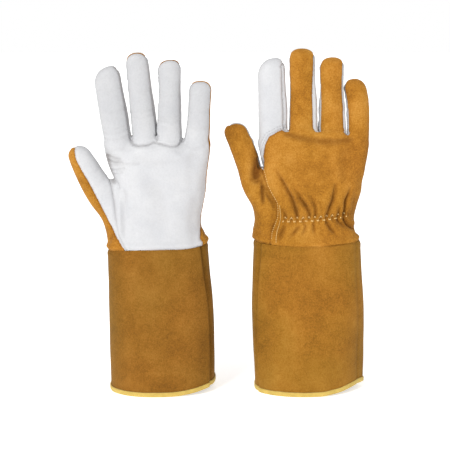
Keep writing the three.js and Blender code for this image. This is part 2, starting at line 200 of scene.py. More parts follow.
# ---------------------------------------------------------------- curves and fields
# How square the sections of the stalls and the hand are (2 is an ellipse), and how round their ends.
STALL_POWER, BODY_POWER, CAP_POWER = 2.3, 2.5, 2.4
BODY_CAP = 12.0  # the hand closes over this length under the crotches
BULGE_AT = (-4.5, 3.0)  # where through a finger its left and its right side swell
BULGE_SPREAD = 0.46  # over this share of its half depth,
BULGE_ENDS = (0.38, 0.75)  # and it dies out between these shares of its length
WEB_SPREAD = 8.0  # how far to the sides a lower or higher crotch reaches
SEAM_SPREAD = 24.0  # the leather follows the seam between cuff and hand over this length
FINGER_FILLET = 4.0  # between a finger and the hand
TAPER_START = -4.0  # along a finger, below its hinge
GAP_START = 0.5  # the gap between two fingers starts this far above their own leather's lower edge


def curve(stations, values):
    """A smooth function through values at stations."""
    xs, ys = np.array(stations, float), np.array(values, float)
    slopes = np.gradient(ys, xs)

    def at(t):
        t = np.clip(t, xs[0], xs[-1])
        i = np.clip(np.searchsorted(xs, t, side="right") - 1, 0, len(xs) - 2)
        gap = xs[i + 1] - xs[i]
        s = (t - xs[i]) / gap
        low = (2 * s**3 - 3 * s**2 + 1) * ys[i] + (s**3 - 2 * s**2 + s) * gap * slopes[i]
        high = (3 * s**2 - 2 * s**3) * ys[i + 1] + (s**3 - s**2) * gap * slopes[i + 1]
        return low + high

    return at


def smoothstep(low, high, t):
    s = np.clip((t - low) / (high - low), 0, 1)
    return s * s * (3 - 2 * s)


def bell(distance, width):
    return np.exp(-(distance / width) ** 2)


def tube(u, v, cap, power):
    """1 on the surface of a tube whose section is a superellipse in u and v and which closes as cap grows."""
    section = (np.abs(u) ** power + np.abs(v) ** power) ** (CAP_POWER / power)
    return (section + cap**CAP_POWER) ** (1 / CAP_POWER)


def melt(a, b, radius):
    """The union of two fields, filleted with a radius."""
    h = np.maximum(radius - np.abs(a - b), 0) / radius
    return np.minimum(a, b) - h * h * radius / 4


def nearest_piece(points, line):
    """For points near an open line in x and z: the line's steps, the points relative to each step's start,
    how far along each step they are, and the number of the nearest step."""
    line = np.array(line, float)
    start, step = line[:-1], np.diff(line, axis=0)
    rel = points[:, None, [0, 2]] - start
    share = np.clip((rel * step).sum(2) / (step**2).sum(1), 0, 1)
    distance = np.sqrt(((rel - share[..., None] * step) ** 2).sum(2))
    return step, rel, share, distance.argmin(1)


def edge_side(points, edge):
    """Signed distance in x and z from an open line that runs downwards, positive to its right."""
    step, rel, share, nearest = nearest_piece(points, edge)
    rows = np.arange(len(points))
    step, rel, share = step[nearest], rel[rows, nearest], share[rows, nearest]
    turn = step[:, 0] * rel[:, 1] - step[:, 1] * rel[:, 0]
    return np.sign(turn) * np.sqrt(((rel - share[:, None] * step) ** 2).sum(1))


class Stall:
    """A finger or the thumb: a round-ended tube round a slightly bent line that starts at its hinge."""

    def __init__(self, hand, name, shape, origin):
        joint = JOINTS[f"{hand}_{name}_knuckle"]
        self.name = name
        self.x = joint["pos_m"][0] / MM - origin
        self.z = joint["pos_m"][2] / MM
        sign = math.copysign(1, joint["axis"][0])
        self.sin, self.cos = -sign * joint["axis"][2], sign * joint["axis"][0]
        self.length = shape["length"]
        self.width = curve(STATIONS, shape["width"])
        self.depth = curve(STATIONS, shape["depth"])
        self.shift = curve(STATIONS, shape["shift"])
        self.tip, self.slant = shape["tip"]
        self.curl = shape["curl"]
        self.bulge = shape["bulge"]

    def across_along(self, p):
        """Where points are across the stall's bent middle line, through it and along it."""
        dx, dz = p[:, 0] - self.x, p[:, 2] - self.z
        along = dx * self.sin + dz * self.cos
        share = along / self.length
        across = dx * self.cos - dz * self.sin - self.shift(share)
        through = p[:, 1] + self.curl * np.clip(share, 0, 1) ** 2
        return across, through, along

    def field(self, p):
        across, through, along = self.across_along(p)
        share = along / self.length
        width, depth = self.width(share), self.depth(share)
        # The left side swells nearer the palm and the right one nearer the back.
        left, right = (b * bell(through - q, BULGE_SPREAD * depth) for b, q in zip(self.bulge, BULGE_AT))
        width = width + np.where(across < 0, left, right) * (1 - smoothstep(*BULGE_ENDS, share))
        reach = self.length - self.tip + self.slant * across / width
        cap = np.maximum(along - reach, 0) / self.tip
        if self.name != "thumb":
            cap = cap + np.maximum(TAPER_START - along, 0) / FINGER_ROOT
        rho = tube(across / width, through / depth, cap, STALL_POWER)
        return (rho - 1) * np.minimum(width, depth)

    def point(self, across, through, along):
        """The point at that place in the stall."""
        share = along / self.length
        u = across + float(self.shift(share))
        x = self.x + u * self.cos + along * self.sin
        z = self.z - u * self.sin + along * self.cos
        return np.array([x, through - self.curl * min(max(share, 0), 1) ** 2, z])


class Glove:
    def __init__(self, hand):
        shape = GLOVES[hand]
        self.hand = hand
        self.palm = shape["palm"]
        self.shape = shape
        self.origin = joint_mm(f"{hand}_wrist")[0]
        self.stalls = {n: Stall(hand, n, s, self.origin) for n, s in shape["stalls"].items()}
        columns = (shape["body_left"], shape["body_right"], BODY_DEPTH)
        self.left, self.right, self.depth = (curve(BODY_LEVELS, c) for c in columns)
        columns = (shape["cuff_left"], shape["cuff_right"], CUFF_DEPTH)
        self.cuff_left, self.cuff_right, self.cuff_depth = (curve(CUFF_LEVELS, c) for c in columns)
        self.back_edge = self.at_back_edge(BACK_EDGE)
        self.second_row = self.at_back_edge(SECOND_ROW)
        self.seam_rise = curve(*zip(*shape["seam_rise"]))
        self.elastic = shape["elastic"]
        self.hem = curve(*zip(*shape["hem"]))
        self.corner = shape["corner"]

    def world(self, p):
        """Row-frame metres from glove millimetres."""
        p = np.atleast_2d(p)
        lift = LIFT * np.clip(p[:, 2] / CUFF_TOP, 0, 1)
        lift = lift + self.seam_rise(p[:, 0]) * bell(p[:, 2] - CUFF_TOP, SEAM_SPREAD)
        return np.column_stack([p[:, 0] + self.origin, -self.palm * p[:, 1], p[:, 2] + lift]) * MM

    def at_back_edge(self, line):
        """A line beside the back panel's edge, moved to where that edge is on this glove."""
        return [(x + self.shape["back_edge_shift"], z) for x, z in line]

    def elastic_z(self, x):
        start, end = self.elastic
        return ELASTIC_Z + ELASTIC_RISE * np.clip((x - start) / (end - start), 0, 1) ** 2

    def web_height(self, p, highest=WEB_RISE):
        """The height of points, measured so that it is WEB_TOP at every crotch between two fingers."""
        lower = sum(max(drop, -highest) * bell(p[:, 0] - x, WEB_SPREAD) for x, drop in self.shape["webs"])
        return p[:, 2] + lower - WEB_SLOPE * np.clip(p[:, 1], -WEB_DEPTH, WEB_DEPTH)

    def above_start(self, p):
        """A field that is positive on the fingers' own leather."""
        return self.web_height(p, 0) - STALL_START

    def body(self, p):
        """The hand without its stalls."""
        left, right, depth = self.left(p[:, 2]), self.right(p[:, 2]), self.depth(p[:, 2])
        half = (right - left) / 2
        cap = np.maximum(self.web_height(p) - (WEB_TOP - BODY_CAP), 0) / BODY_CAP
        rho = tube((p[:, 0] - (left + right) / 2) / half, p[:, 1] / depth, cap, BODY_POWER)
        return (rho - 1) * depth

    def thumb_side(self, p):
        """A field that is positive on the thumb's own leather."""
        thumb = self.stalls["thumb"]
        along = thumb.across_along(p)[2] - self.shape["thumb_start"]
        return np.minimum(along, self.body(p) - thumb.field(p))

    def field(self, p):
        body = self.body(p)
        fields = [self.stalls[name].field(p) for name in FINGERS]
        thumb = self.stalls["thumb"].field(p)
        whole = melt(body, thumb, self.shape["thumb_fillet"])
        for finger in fields:
            whole = np.minimum(whole, melt(body, finger, FINGER_FILLET))
        # Where the thumb lies against the hand, or a finger against the next, a narrow gap parts them.
        up = self.stalls["thumb"].across_along(p)[2] - self.shape["thumb_start"] - THUMB_CROTCH
        hand = np.minimum(body, fields[0])
        gaps = [np.minimum(THUMB_GAP - np.abs(thumb - hand) / 2, up)]
        up = self.web_height(p) - STALL_START - GAP_START
        for first, second in zip(fields, fields[1:]):
            both = 1 - np.maximum(first, second)
            gaps.append(np.minimum(np.minimum(FINGER_GAP - np.abs(first - second) / 2, up), both))
        return np.maximum(whole, np.max(gaps, 0))


# ---------------------------------------------------------------- meshing
def net_surface(values, low, step):
    """Triangles on the zero level of a field sampled on a grid, with one vertex in each cell it crosses."""
    inside = values < 0
    cells = tuple(n - 1 for n in values.shape)

    def corner(array, offset):
        return array[tuple(slice(o, o + n) for o, n in zip(offset, cells))]

    corners = [(i, j, k) for i in (0, 1) for j in (0, 1) for k in (0, 1)]
    count = sum(corner(inside, c).astype(np.int8) for c in corners)
    active = (count > 0) & (count < 8)
    index = np.full(cells, -1)
    index[active] = np.arange(active.sum())
    total, hits = np.zeros((active.sum(), 3)), np.zeros(active.sum())
    for c in corners:
        for axis in range(3):
            if c[axis]:
                continue
            other = tuple(o + (a == axis) for a, o in enumerate(c))
            a, b = corner(values, c)[active], corner(values, other)[active]
            cross = (a < 0) != (b < 0)
            share = np.where(cross, a / np.where(cross, a - b, 1), 0)
            spot = np.tile(np.array(c, float), (len(a), 1))
            spot[:, axis] += share
            total[cross] += spot[cross]
            hits += cross
    points = low + step * (np.argwhere(active) + total / hits[:, None])
    quads = []
    for axis in range(3):
        b, c = (axis + 1) % 3, (axis + 2) % 3
        before = np.take(inside, range(cells[axis]), axis)
        after = np.take(inside, range(1, cells[axis] + 1), axis)
        edges = np.argwhere(before != after)
        ok = (edges[:, b] > 0) & (edges[:, c] > 0) & (edges[:, b] < cells[b]) & (edges[:, c] < cells[c])
        edges = edges[ok]
        ring = []
        for db, dc in ((0, 0), (-1, 0), (-1, -1), (0, -1)):
            cell = edges.copy()
            cell[:, b] += db
            cell[:, c] += dc
            ring.append(index[tuple(cell.T)])
        ring = np.array(ring).T
        leaves = before[tuple(edges.T)]
        quads.append(np.where(leaves[:, None], ring, ring[:, ::-1]))
    quads = np.vstack(quads)
    return points, np.vstack([quads[:, [0, 1, 2]], quads[:, [0, 2, 3]]])


def slope(field, p, h=0.15):
    return np.column_stack([(field(p + h * e) - field(p - h * e)) / (2 * h) for e in np.eye(3)])


def settle(points, triangles, field, rounds=3):
    """Evens the triangles out and puts the points back on the field's surface."""
    for _ in range(rounds):
        total, count = np.zeros_like(points), np.zeros(len(points))
        for a, b in ((0, 1), (1, 2), (2, 0), (1, 0), (2, 1), (0, 2)):
            np.add.at(total, triangles[:, a], points[triangles[:, b]])
            np.add.at(count, triangles[:, a], 1)
        points = 0.5 * points + 0.5 * total / np.maximum(count, 1)[:, None]
        for _ in range(2):
            grad = slope(field, points)
            step = field(points) / np.maximum((grad**2).sum(1), 0.05)
            points = points - np.clip(step[:, None] * grad, -1, 1)
    return points


def triangle_edges(triangles):
    """The directed edges of all triangles: first all the edges 01, then all the 12, then all the 20."""
    return np.vstack([triangles[:, [0, 1]], triangles[:, [1, 2]], triangles[:, [2, 0]]])


def shared_edges(triangles):
    """The edges where two triangles meet, and the numbers of those two triangles."""
    edges = np.sort(triangle_edges(triangles), axis=1)
    owner = np.tile(np.arange(len(triangles)), 3)
    order = np.lexsort((edges[:, 1], edges[:, 0]))
    edges, owner = edges[order], owner[order]
    twin = np.where((edges[1:] == edges[:-1]).all(1))[0]
    return edges[twin], owner[twin], owner[twin + 1]


def cut(points, triangles, values, snap=0.3):
    """Splits the triangles that a field's zero line crosses, exactly along the line. values is nan where it
    doesn't cut. Vertices nearer than snap count as on the line."""
    side = np.sign(np.where(np.abs(values) < snap, 0, np.nan_to_num(values)))
    edges = np.sort(triangle_edges(triangles), axis=1)
    crossing = side[edges[:, 0]] * side[edges[:, 1]] < 0
    unique, inverse = np.unique(edges[crossing], axis=0, return_inverse=True)
    share = values[unique[:, 0]] / (values[unique[:, 0]] - values[unique[:, 1]])
    fresh = points[unique[:, 0]] + share[:, None] * (points[unique[:, 1]] - points[unique[:, 0]])
    middle = np.full(len(edges), -1)
    middle[crossing] = len(points) + inverse.ravel()
    middle = middle.reshape(3, -1).T  # the new vertex on each triangle's edges 01, 12 and 20
    n_cross = (middle >= 0).sum(1)
    made = [triangles[n_cross == 0]]
    for k in range(3):
        a, b, c = (triangles[:, (k + i) % 3] for i in range(3))
        ab, ca = middle[:, k], middle[:, (k + 2) % 3]
        one = (n_cross == 1) & (ab >= 0)
        made += [np.column_stack(t)[one] for t in ((a, ab, c), (ab, b, c))]
        two = (n_cross == 2) & (ab >= 0) & (ca >= 0)
        made += [np.column_stack(t)[two] for t in ((a, ab, ca), (ab, b, c), (ab, c, ca))]
    return np.vstack([points, fresh]), np.vstack(made)


def vertex_normals(points, triangles):
    a, b, c = (points[triangles[:, i]] for i in range(3))
    face = np.cross(b - a, c - a)
    total = np.zeros_like(points)
    for i in range(3):
        np.add.at(total, triangles[:, i], face)
    return total / np.maximum(np.linalg.norm(total, axis=1), 1e-12)[:, None]


def boundary_edges(triangles):
    """The directed edges that belong to one triangle only."""
    edges = triangle_edges(triangles)
    ordered = np.sort(edges, axis=1)
    _, first, count = np.unique(ordered, axis=0, return_index=True, return_counts=True)
    return edges[first[count == 1]]


# ---------------------------------------------------------------- seams and panels
HAND = 5  # the number of the hand's own leather: 0 to 3 are the fingers and 4 is the thumb
FAR = 50.0  # further away than any seam
# Where through the hand the seam between palm and back lies at the little finger's side and at the thumb's,
# how far it climbs at the thumb, and how far it runs to the palm's side at the wrist.
LITTLE_SIDE, THUMB_SIDE, THUMB_SIDE_RISE, WRIST_SIDE = -3.0, -3.5, 8.0, 13.0
CROTCH_STRIP = 1.3  # the wall strips reach this far down under a crotch,
CROTCH_BEND = 4.0  # rounded off at both ends by this much,
CROTCH_FRONT, CROTCH_BACK = -2.9, 13.0  # between these two places through the hand


def stall_seams(glove, name, p):
    """Two fields: the back leather is where the first is positive, the front where the second is."""
    stall = glove.stalls[name]
    across, through, along = stall.across_along(p)
    share = along / stall.length
    depth = stall.depth(share)
    fade = smoothstep(0.90, 0.985, share)
    if name == "thumb":
        inner = through - 0.25 * depth
        outer = np.maximum(inner, -edge_side(p, glove.shape["strip_edge"]))
        edge = np.where(across > 0, inner, outer)
        return edge, -edge
    # The seams' places through the finger, as shares of its half depth. The back leather's edge (high) lies
    # further back on the right side and near the crotch, and both seams meet at the tip.
    right_side = smoothstep(-0.5, 0.5, across / stall.width(share))
    crotch = smoothstep(0.2, 0.0, share)
    low, outer_edge = -0.26, -0.22
    if name == "index":
        high = 0.68 - 0.12 * crotch
    else:
        rim = 0.40 + 0.18 * (name == "middle") * smoothstep(0.88, 0.5, share)
        base_rim = np.where(across > 0, 0.54, 0.37) if name == "middle" else 0.54
        high = (0.12 + rim * right_side) * (1 - crotch) + base_rim * crotch
    high = high * (1 - fade) + low * fade
    if name == "little":
        high = np.where(across > 0, outer_edge, (0.24 + 0.3 * crotch) * (1 - fade) + outer_edge * fade)
        low = np.where(across > 0, outer_edge, low * (1 - fade) + outer_edge * fade)
    return through - high * depth, low * depth - through


def finger_base_seam(glove):
    """The line under the middle and ring fingers' own front leather, on the palm, from crotch to crotch."""
    middle, ring = glove.stalls["middle"], glove.stalls["ring"]
    left = middle.x - float(middle.width(0)) - 0.2
    right = ring.x + float(ring.width(0)) + 0.4
    mid = (middle.x + float(middle.width(0)) + ring.x - float(ring.width(0))) / 2 - 0.9
    return [(left - 0.5, 295), (left - 0.2, 269), (left + 0.6, 264.4), (left + 2.6, 261.6), (left + 8, 260.2),
            (mid - 6.5, 261.3), (mid - 0.4, 263.9), (mid + 9, 261.6), (right - 10, 259.7), (right - 3, 259.7),
            (right - 0.6, 262), (right, 268), (right + 0.5, 295)]


def hand_fields(glove, p):
    """The seams of the hand's own leather, as fields over points."""
    little, thumb = glove.stalls["little"], glove.stalls["thumb"]
    # The side seam climbs to the back at the thumb, and runs to the palm below the little finger.
    rise = smoothstep(thumb.z - 10, thumb.z + 2, p[:, 2])
    side = np.where(p[:, 0] < little.x + 3, THUMB_SIDE + THUMB_SIDE_RISE * rise, LITTLE_SIDE)
    side = np.where(p[:, 0] > 20, side - WRIST_SIDE * (1 - smoothstep(158, 178, p[:, 2])), side)
    # The wall strips run through under each crotch in a U.
    crotch = np.full(len(p), -FAR)
    for first, second in zip(FINGERS, FINGERS[1:]):
        first, second = glove.stalls[first], glove.stalls[second]
        across, _, along = first.across_along(p)
        reach = 0.88 + 0.09 * smoothstep(2, -4, p[:, 1]) + 0.05 * smoothstep(4, 9, p[:, 1])
        after = across - reach * first.width(along / first.length)
        across, _, along = second.across_along(p)
        before = -across - reach * second.width(along / second.length)
        half, off = np.maximum((after + before) / 2, 0.5), (after - before) / 2
        bend = CROTCH_BEND * (1 - np.sqrt(np.maximum(1 - (off / half) ** 2, 0)))
        between = np.minimum(glove.web_height(p) - (WEB_TOP - CROTCH_STRIP) - bend, half - np.abs(off))
        crotch = np.maximum(crotch, between)
    crotch = np.minimum(np.minimum(CROTCH_BACK - p[:, 1], p[:, 1] - CROTCH_FRONT), crotch)
    return {
        "side": p[:, 1] - side,
        "back": edge_side(p, glove.back_edge),
        "palm": edge_side(p, glove.shape["palm_seam"]),
        "strip": edge_side(p, glove.shape["strip_edge"]),
        "base": edge_side(p, finger_base_seam(glove)),
        "crotch": crotch,
    }


def nearest_stall(glove, p):
    """The number of the finger or thumb that points lie on, or HAND."""
    fields = np.array([glove.stalls[n].field(p) for n in STALLS])
    nearest = fields.argmin(0)
    on_thumb = (nearest == 4) & (glove.thumb_side(p) > 0)
    on_finger = (nearest < 4) & (glove.above_start(p) > 0)
    return np.where(on_thumb, 4, np.where(on_finger, nearest, HAND))


GRID_BOX = ((-100, -34, CUFF_TOP - 7), (74, 34, 368))


def mesh_hand(glove):
    """The hand's surface with the fingers and the thumb, cut along every seam. Returns points, triangles and
    for each triangle the number of its stall or HAND, and its panel."""
    low, high = np.array(GRID_BOX, float)
    axes = [np.arange(a, b, GRID) for a, b in zip(low, high)]
    grid = np.stack(np.meshgrid(*axes, indexing="ij"), -1)
    values = np.concatenate([glove.field(layer.reshape(-1, 3)) for layer in grid]).reshape(grid.shape[:3])
    points, triangles = net_surface(values, low, GRID)
    points = settle(points, triangles, glove.field)

    def near(where, values):
        return np.where(where, values, np.nan)

    thumb = glove.stalls["thumb"]
    points, triangles = cut(points, triangles, points[:, 2] - CUFF_TOP - 0.3)
    triangles = triangles[points[triangles].mean(1)[:, 2] > CUFF_TOP]
    beside = np.abs(thumb.field(points)) < 6
    points, triangles = cut(points, triangles, near(beside, glove.thumb_side(points)))
    away = np.abs(thumb.field(points)) > 4
    points, triangles = cut(points, triangles, near(away, glove.above_start(points)))
    for number, name in enumerate(STALLS):
        for k in range(1 if name == "thumb" else 2):
            on = nearest_stall(glove, points) == number
            edge = np.zeros(len(points), bool)
            edge[triangles[on[triangles].any(1)].ravel()] = True
            field = stall_seams(glove, name, points)[k]
            if name == "index":  # it is wrapped in one piece, with a wall strip on its right side only
                field = near(glove.stalls[name].across_along(points)[0] > 2, field)
            points, triangles = cut(points, triangles, near(edge, field))
    # Each seam of the hand's own leather is cut only where it runs.
    for key in ("side", "back", "palm", "strip", "base", "crotch"):
        f = hand_fields(glove, points)
        wanted = {
            "side": np.abs(f["side"]) < 8,
            "back": points[:, 1] > -1,
            "palm": (points[:, 1] < 2) & (points[:, 2] < thumb.z + 14),
            "strip": (points[:, 1] < 12) & (points[:, 0] < -20) & (points[:, 2] < thumb.z + 20),
            "base": points[:, 1] < -3,
            "crotch": points[:, 2] > 255,
        }[key]
        grown = np.zeros(len(points), bool)
        stall = nearest_stall(glove, points[triangles].mean(1))
        grown[triangles[stall == HAND].ravel()] = True
        points, triangles = cut(points, triangles, near(wanted & grown, f[key]))
    centre = points[triangles].mean(1)
    stall = nearest_stall(glove, centre)
    return points, triangles, stall, join_slivers(triangles, stall, name_panels(glove, centre, stall))


PANELS = ["palm_panel", "back_panel", "thumb_root_front", "thumb_root_back", "index_wall_inner", "index_wrap",
          "middle_wall_outer", "middle_wall_inner", "middle_front", "middle_back", "ring_wall_outer",
          "ring_wall_inner", "ring_front", "ring_back", "little_wall_outer", "little_front", "little_back",
          "thumb_front", "thumb_back"]
TAN_PANELS = {"back_panel", "thumb_root_back", "middle_back", "ring_back", "little_back", "thumb_back"}
# Panels that are one piece of leather on the real glove, so that no seam shows where they meet.
ONE_LEATHER = {
    "index_wrap": "palm_panel", "little_front": "palm_panel",
    "middle_back": "back_panel", "ring_back": "back_panel", "little_back": "back_panel",
    "thumb_front": "thumb_root_front", "thumb_back": "thumb_root_back", "middle_wall_inner": "fork_2",
    "ring_wall_outer": "fork_2", "index_wall_inner": "fork_1", "middle_wall_outer": "fork_1",
    "ring_wall_inner": "fork_3", "little_wall_outer": "fork_3",
}


def name_panels(glove, centre, stall):
    panel = np.full(len(centre), PANELS.index("palm_panel"))

    def put(mask, name):
        panel[mask] = PANELS.index(name)

    f = hand_fields(glove, centre)
    thumb = glove.stalls["thumb"]
    hand = stall == HAND
    behind = f["side"] > 0
    back = hand & behind & (f["back"] > 0)
    beside = hand & ~back & (centre[:, 0] < -15) & (centre[:, 2] < thumb.z + 14)
    near_thumb = (thumb.across_along(centre)[2] < glove.shape["thumb_start"] + 2) & (thumb.field(centre) < 6)
    near_thumb |= centre[:, 2] < thumb.z - 12
    root = beside & near_thumb & np.where(behind, f["back"] < 0, f["palm"] < 0)
    put(back, "back_panel")
    base = hand & (f["base"] > 0) & (centre[:, 1] < -3)
    divide = (glove.stalls["middle"].x + glove.stalls["ring"].x) / 2 + 1.6
    put(base & (centre[:, 0] < divide), "middle_front")
    put(base & (centre[:, 0] >= divide), "ring_front")
    crotch = hand & (f["crotch"] > 0)
    for first, second in zip(FINGERS, FINGERS[1:]):
        between = (centre[:, 0] > glove.stalls[first].x) & (centre[:, 0] < glove.stalls[second].x)
        put(crotch & between, f"{first}_wall_inner")
    put(root, "thumb_root_front")
    put(root & ((f["strip"] < 0) | behind), "thumb_root_back")
    for number, name in enumerate(STALLS):
        on = stall == number
        is_back, is_front = (field > 0 for field in stall_seams(glove, name, centre))
        outer = glove.stalls[name].across_along(centre)[0] < 0
        if name == "thumb":
            put(on & ~is_back, "thumb_front")
            put(on & is_back, "thumb_back")
            continue
        if name == "index":
            put(on, "index_wrap")
            put(on & ~is_back & ~is_front & ~outer, "index_wall_inner")
            continue
        put(on & is_front, f"{name}_front")
        put(on & ~is_front, f"{name}_wall_outer")
        put(on & ~is_front & ~outer, f"{name}_wall_inner" if name != "little" else "little_front")
        put(on & is_back, f"{name}_back")
    return panel


def join_slivers(triangles, stall, panel, smallest=60):
    """Hands the small islands that cutting leaves over to the panel beside them."""
    _, a, b = shared_edges(triangles)
    panel = panel.copy()
    for _ in range(3):
        same = (panel[a] == panel[b]) & (stall[a] == stall[b])
        parent = list(range(len(triangles)))
        for i, j in zip(a[same].tolist(), b[same].tolist()):
            parent[find_root(parent, i)] = find_root(parent, j)
        root = np.array([find_root(parent, i) for i in range(len(triangles))])
        size = np.bincount(root, minlength=len(triangles))[root]
        small = size < smallest
        if not small.any():
            break
        votes = {}
        for i, j in zip(np.concatenate([a, b]), np.concatenate([b, a])):
            if small[i] and stall[i] == stall[j] and root[i] != root[j] and size[j] > size[i]:
                tally = votes.setdefault(root[i], {})
                tally[panel[j]] = tally.get(panel[j], 0) + 1
        for island, tally in votes.items():
            panel[root == island] = max(tally, key=tally.get)
    return panel


def find_root(parent, i):
    """The root of i in a forest, which is flattened on the way."""
    while parent[i] != i:
        parent[i] = parent[parent[i]]
        i = parent[i]
    return i


def leather_of(panel):
    """A number for each real piece of leather."""
    names = sorted({ONE_LEATHER.get(n, n) for n in PANELS})
    table = np.array([names.index(ONE_LEATHER.get(n, n)) for n in PANELS])
    return table[panel]


# ---------------------------------------------------------------- folds and creases
# BACK_FOLDS are sharp valleys that start faintly, grow deeper along their line and have a ridge along each
# side: ([(x, z), ...], half width, depth).
BACK_FOLDS = [
    ([(-31.2, 233.6), (-25.9, 225.2), (-21.3, 217.7), (-16, 208.5), (-12.3, 199.3), (-8.9, 187)], 1.9, 4.2),
    ([(-14.5, 219), (-12.3, 216.1), (-4.6, 203.9), (0, 197.8), (3.7, 190.2), (4.5, 186.5)], 1.7, 3.8),
    ([(-25.9, 196.4), (-20.6, 185.7)], 1.6, 2.6),
    ([(5.4, 208), (6.8, 203.9), (9.8, 196.4), (10.2, 187.5)], 1.7, 3.2),
    ([(13, 204), (14.4, 200.8), (16.7, 192)], 1.5, 2.0),
    ([(31, 220), (30.3, 216.1), (28.1, 203.9), (25, 196.4), (22.8, 188)], 2.4, 4.2),
    ([(35.4, 199), (34.9, 194.8), (34.6, 188)], 1.5, 2.4),
    ([(47, 216), (45.6, 212.3), (41.7, 203.9), (41, 189)], 1.8, 3.6),
    ([(57, 166), (49.4, 170.5), (44.1, 175.8), (39.9, 182.6)], 1.9, 4.2),
    ([(42, 172.5), (36.4, 178), (31.9, 183.4)], 1.6, 3.2),
    ([(31, 167), (25.8, 172.7), (21.3, 180.5)], 1.7, 3.4),
    ([(9.4, 167), (7.5, 179)], 1.6, 2.2),
    ([(-3, 167), (-0.4, 175.2), (-0.4, 181)], 1.7, 3.0),
    ([(-16, 164), (-6.9, 175.2)], 2.0, 2.4),
    ([(-29, 158), (-22.9, 174.5)], 2.2, 2.4),
]
# The others are ([(x, z), ...], half width, height), with a negative height for a valley.
BACK_SWELLS = [
    ([(-20, 273), (-6, 268.6), (14, 265.4), (32, 264.2), (46, 267)], 3.5, -3.0),
    ([(-14, 279), (4, 275.4), (24, 273.6), (46, 274.5)], 2.6, 1.6),
    ([(-8, 263), (14, 259), (40, 261)], 5.0, 0.9),
    ([(-20, 246), (4, 236), (24, 232)], 8.0, -1.0),
    ([(44, 262), (38, 244), (40, 226)], 6.0, -1.2),
    ([(-30, 250), (-26, 236), (-12, 224)], 6.0, 0.8),
    ([(-36, 222), (-30, 212), (-23, 202)], 3.2, 1.3),
    ([(52, 214), (50, 200), (50, 188)], 4.0, -1.0),
]
# The leather is drawn in under the back panel's edge beside the thumb.
EDGE_FOLDS = [
    ([(-44, 219), (-39.5, 208.5), (-34, 200.6), (-32.6, 193)], 2.2, -3.7),
    ([(-52, 166), (-46, 162), (-40, 159)], 2.2, -1.2),
    ([(-49, 248), (-50.5, 238), (-51.8, 230.5), (-51.5, 221)], 5.8, -3.6),
    ([(-60, 220), (-50, 225), (-42, 230)], 1.5, 1.5),
    ([(-45.3, 224), (-45, 212), (-45.4, 199)], 2.1, -4.6),
    ([(-61, 226), (-54, 221.5), (-48, 222.5)], 1.8, -0.9),
    ([(-60, 214), (-52, 213), (-48.6, 210)], 2.4, -0.7),
]
PALM_FOLDS = [
    ([(-52.2, 250.1), (-45.8, 247.4), (-38.3, 245.8)], 1.3, -1.5),
    ([(-50.6, 244.2), (-44.7, 242.1), (-36.2, 242.6)], 1.4, -1.8),
    ([(-49.5, 239.4), (-42.6, 238.9), (-32, 241), (-18, 242)], 1.4, -1.2),
    ([(-47.9, 234.1), (-42.6, 234.1), (-34, 236.8)], 1.4, -1.7),
    ([(-46.9, 228.8), (-41.5, 230.9), (-36.2, 232.5)], 1.5, -1.2),
    ([(-45.3, 222.4), (-41.5, 220.2), (-39.4, 216)], 1.5, -1.3),
    ([(-39, 214), (-38, 190), (-39, 168)], 2.8, 1.3),
    ([(-33.5, 212), (-32.5, 190), (-33, 165)], 2.6, -0.9),
    ([(37, 252), (35, 236), (36, 218)], 5.0, -0.6),
    ([(40, 204), (37, 184), (39, 164)], 5.0, -0.8),
    ([(-20, 246), (0, 242), (22, 245), (44, 250)], 5.0, -0.7),
    ([(30, 262), (42, 258), (52, 260)], 2.6, -0.8),
    ([(-56, 256), (-44, 255), (-34, 257)], 2.4, -0.8),
    ([(-12, 226), (4, 206), (8, 186)], 9.0, -0.9),
    ([(-47, 169), (-52, 160), (-53, 155)], 1.8, -1.6),
]
# Crosswise creases on the palm side of the fingers: (stall, place along it in mm, half width, height).
FINGER_CREASES = [
    ("index", 3, 2.0, -0.9), ("index", 9, 1.8, -0.8), ("index", 14, 1.8, -0.6), ("index", 31, 2.6, -0.6),
    ("index", 53, 2.6, -0.5), ("middle", 26, 2.2, -0.7), ("middle", 31, 1.8, -0.6), ("middle", 52, 2.6, -0.5),
    ("ring", 21, 1.8, -0.9), ("ring", 25, 1.8, -0.6), ("ring", 48, 2.6, -0.5), ("little", 14, 2.4, -0.6),
    ("little", 33, 2.4, -0.5), ("thumb", 12, 2.4, -0.7), ("thumb", 24, 2.4, -0.6),
]
GATHERS = 11  # puckers along the wrist's elastic
PUCKER, PUCKER_SPREAD = 1.3, 6.5  # their height, and how far above and below the elastic they reach
GATHER_SWAY = 0.001  # how much they spread away from it
HOLLOW, HOLLOW_SPREAD = 2.0, 3.8  # the depth of the hollow along it, and how wide it is
HELD, HELD_SPREAD = 0.55, 4.5  # how much flatter it holds the folds that cross it, and over what height
CREASE_BOW = 0.012  # how much a finger's creases bow towards its tip at its sides


def ridge(points, line, width):
    """1 on an open line in x and z, falling off to both sides."""
    return bell(edge_side(points, line), width)


def share_along(points, line):
    """How far along a line each point's nearest place on it lies, from 0 to 1."""
    step, _, share, nearest = nearest_piece(points, line)
    size = np.linalg.norm(step, axis=1)
    before = np.concatenate([[0], np.cumsum(size)])
    return (before[nearest] + share[np.arange(len(points)), nearest] * size[nearest]) / before[-1]


def sharp_fold(points, line, width, depth):
    """A valley with a ridge beside it, which grows deeper along its line."""
    away = np.abs(edge_side(points, line))
    grow = smoothstep(-0.4, 0.6, share_along(points, line))
    beside = 0.36 * bell(away - 2.6 * width, 1.7 * width)
    return depth * grow * (beside - bell(away, 0.86 * width))


def noise_at(points, scale, seed):
    """Smooth noise from -1 to 1 over points, at a scale in millimetres for each direction."""
    spread = points / np.array(scale) + seed
    return np.array([noise.noise(Vector(p)) for p in spread])


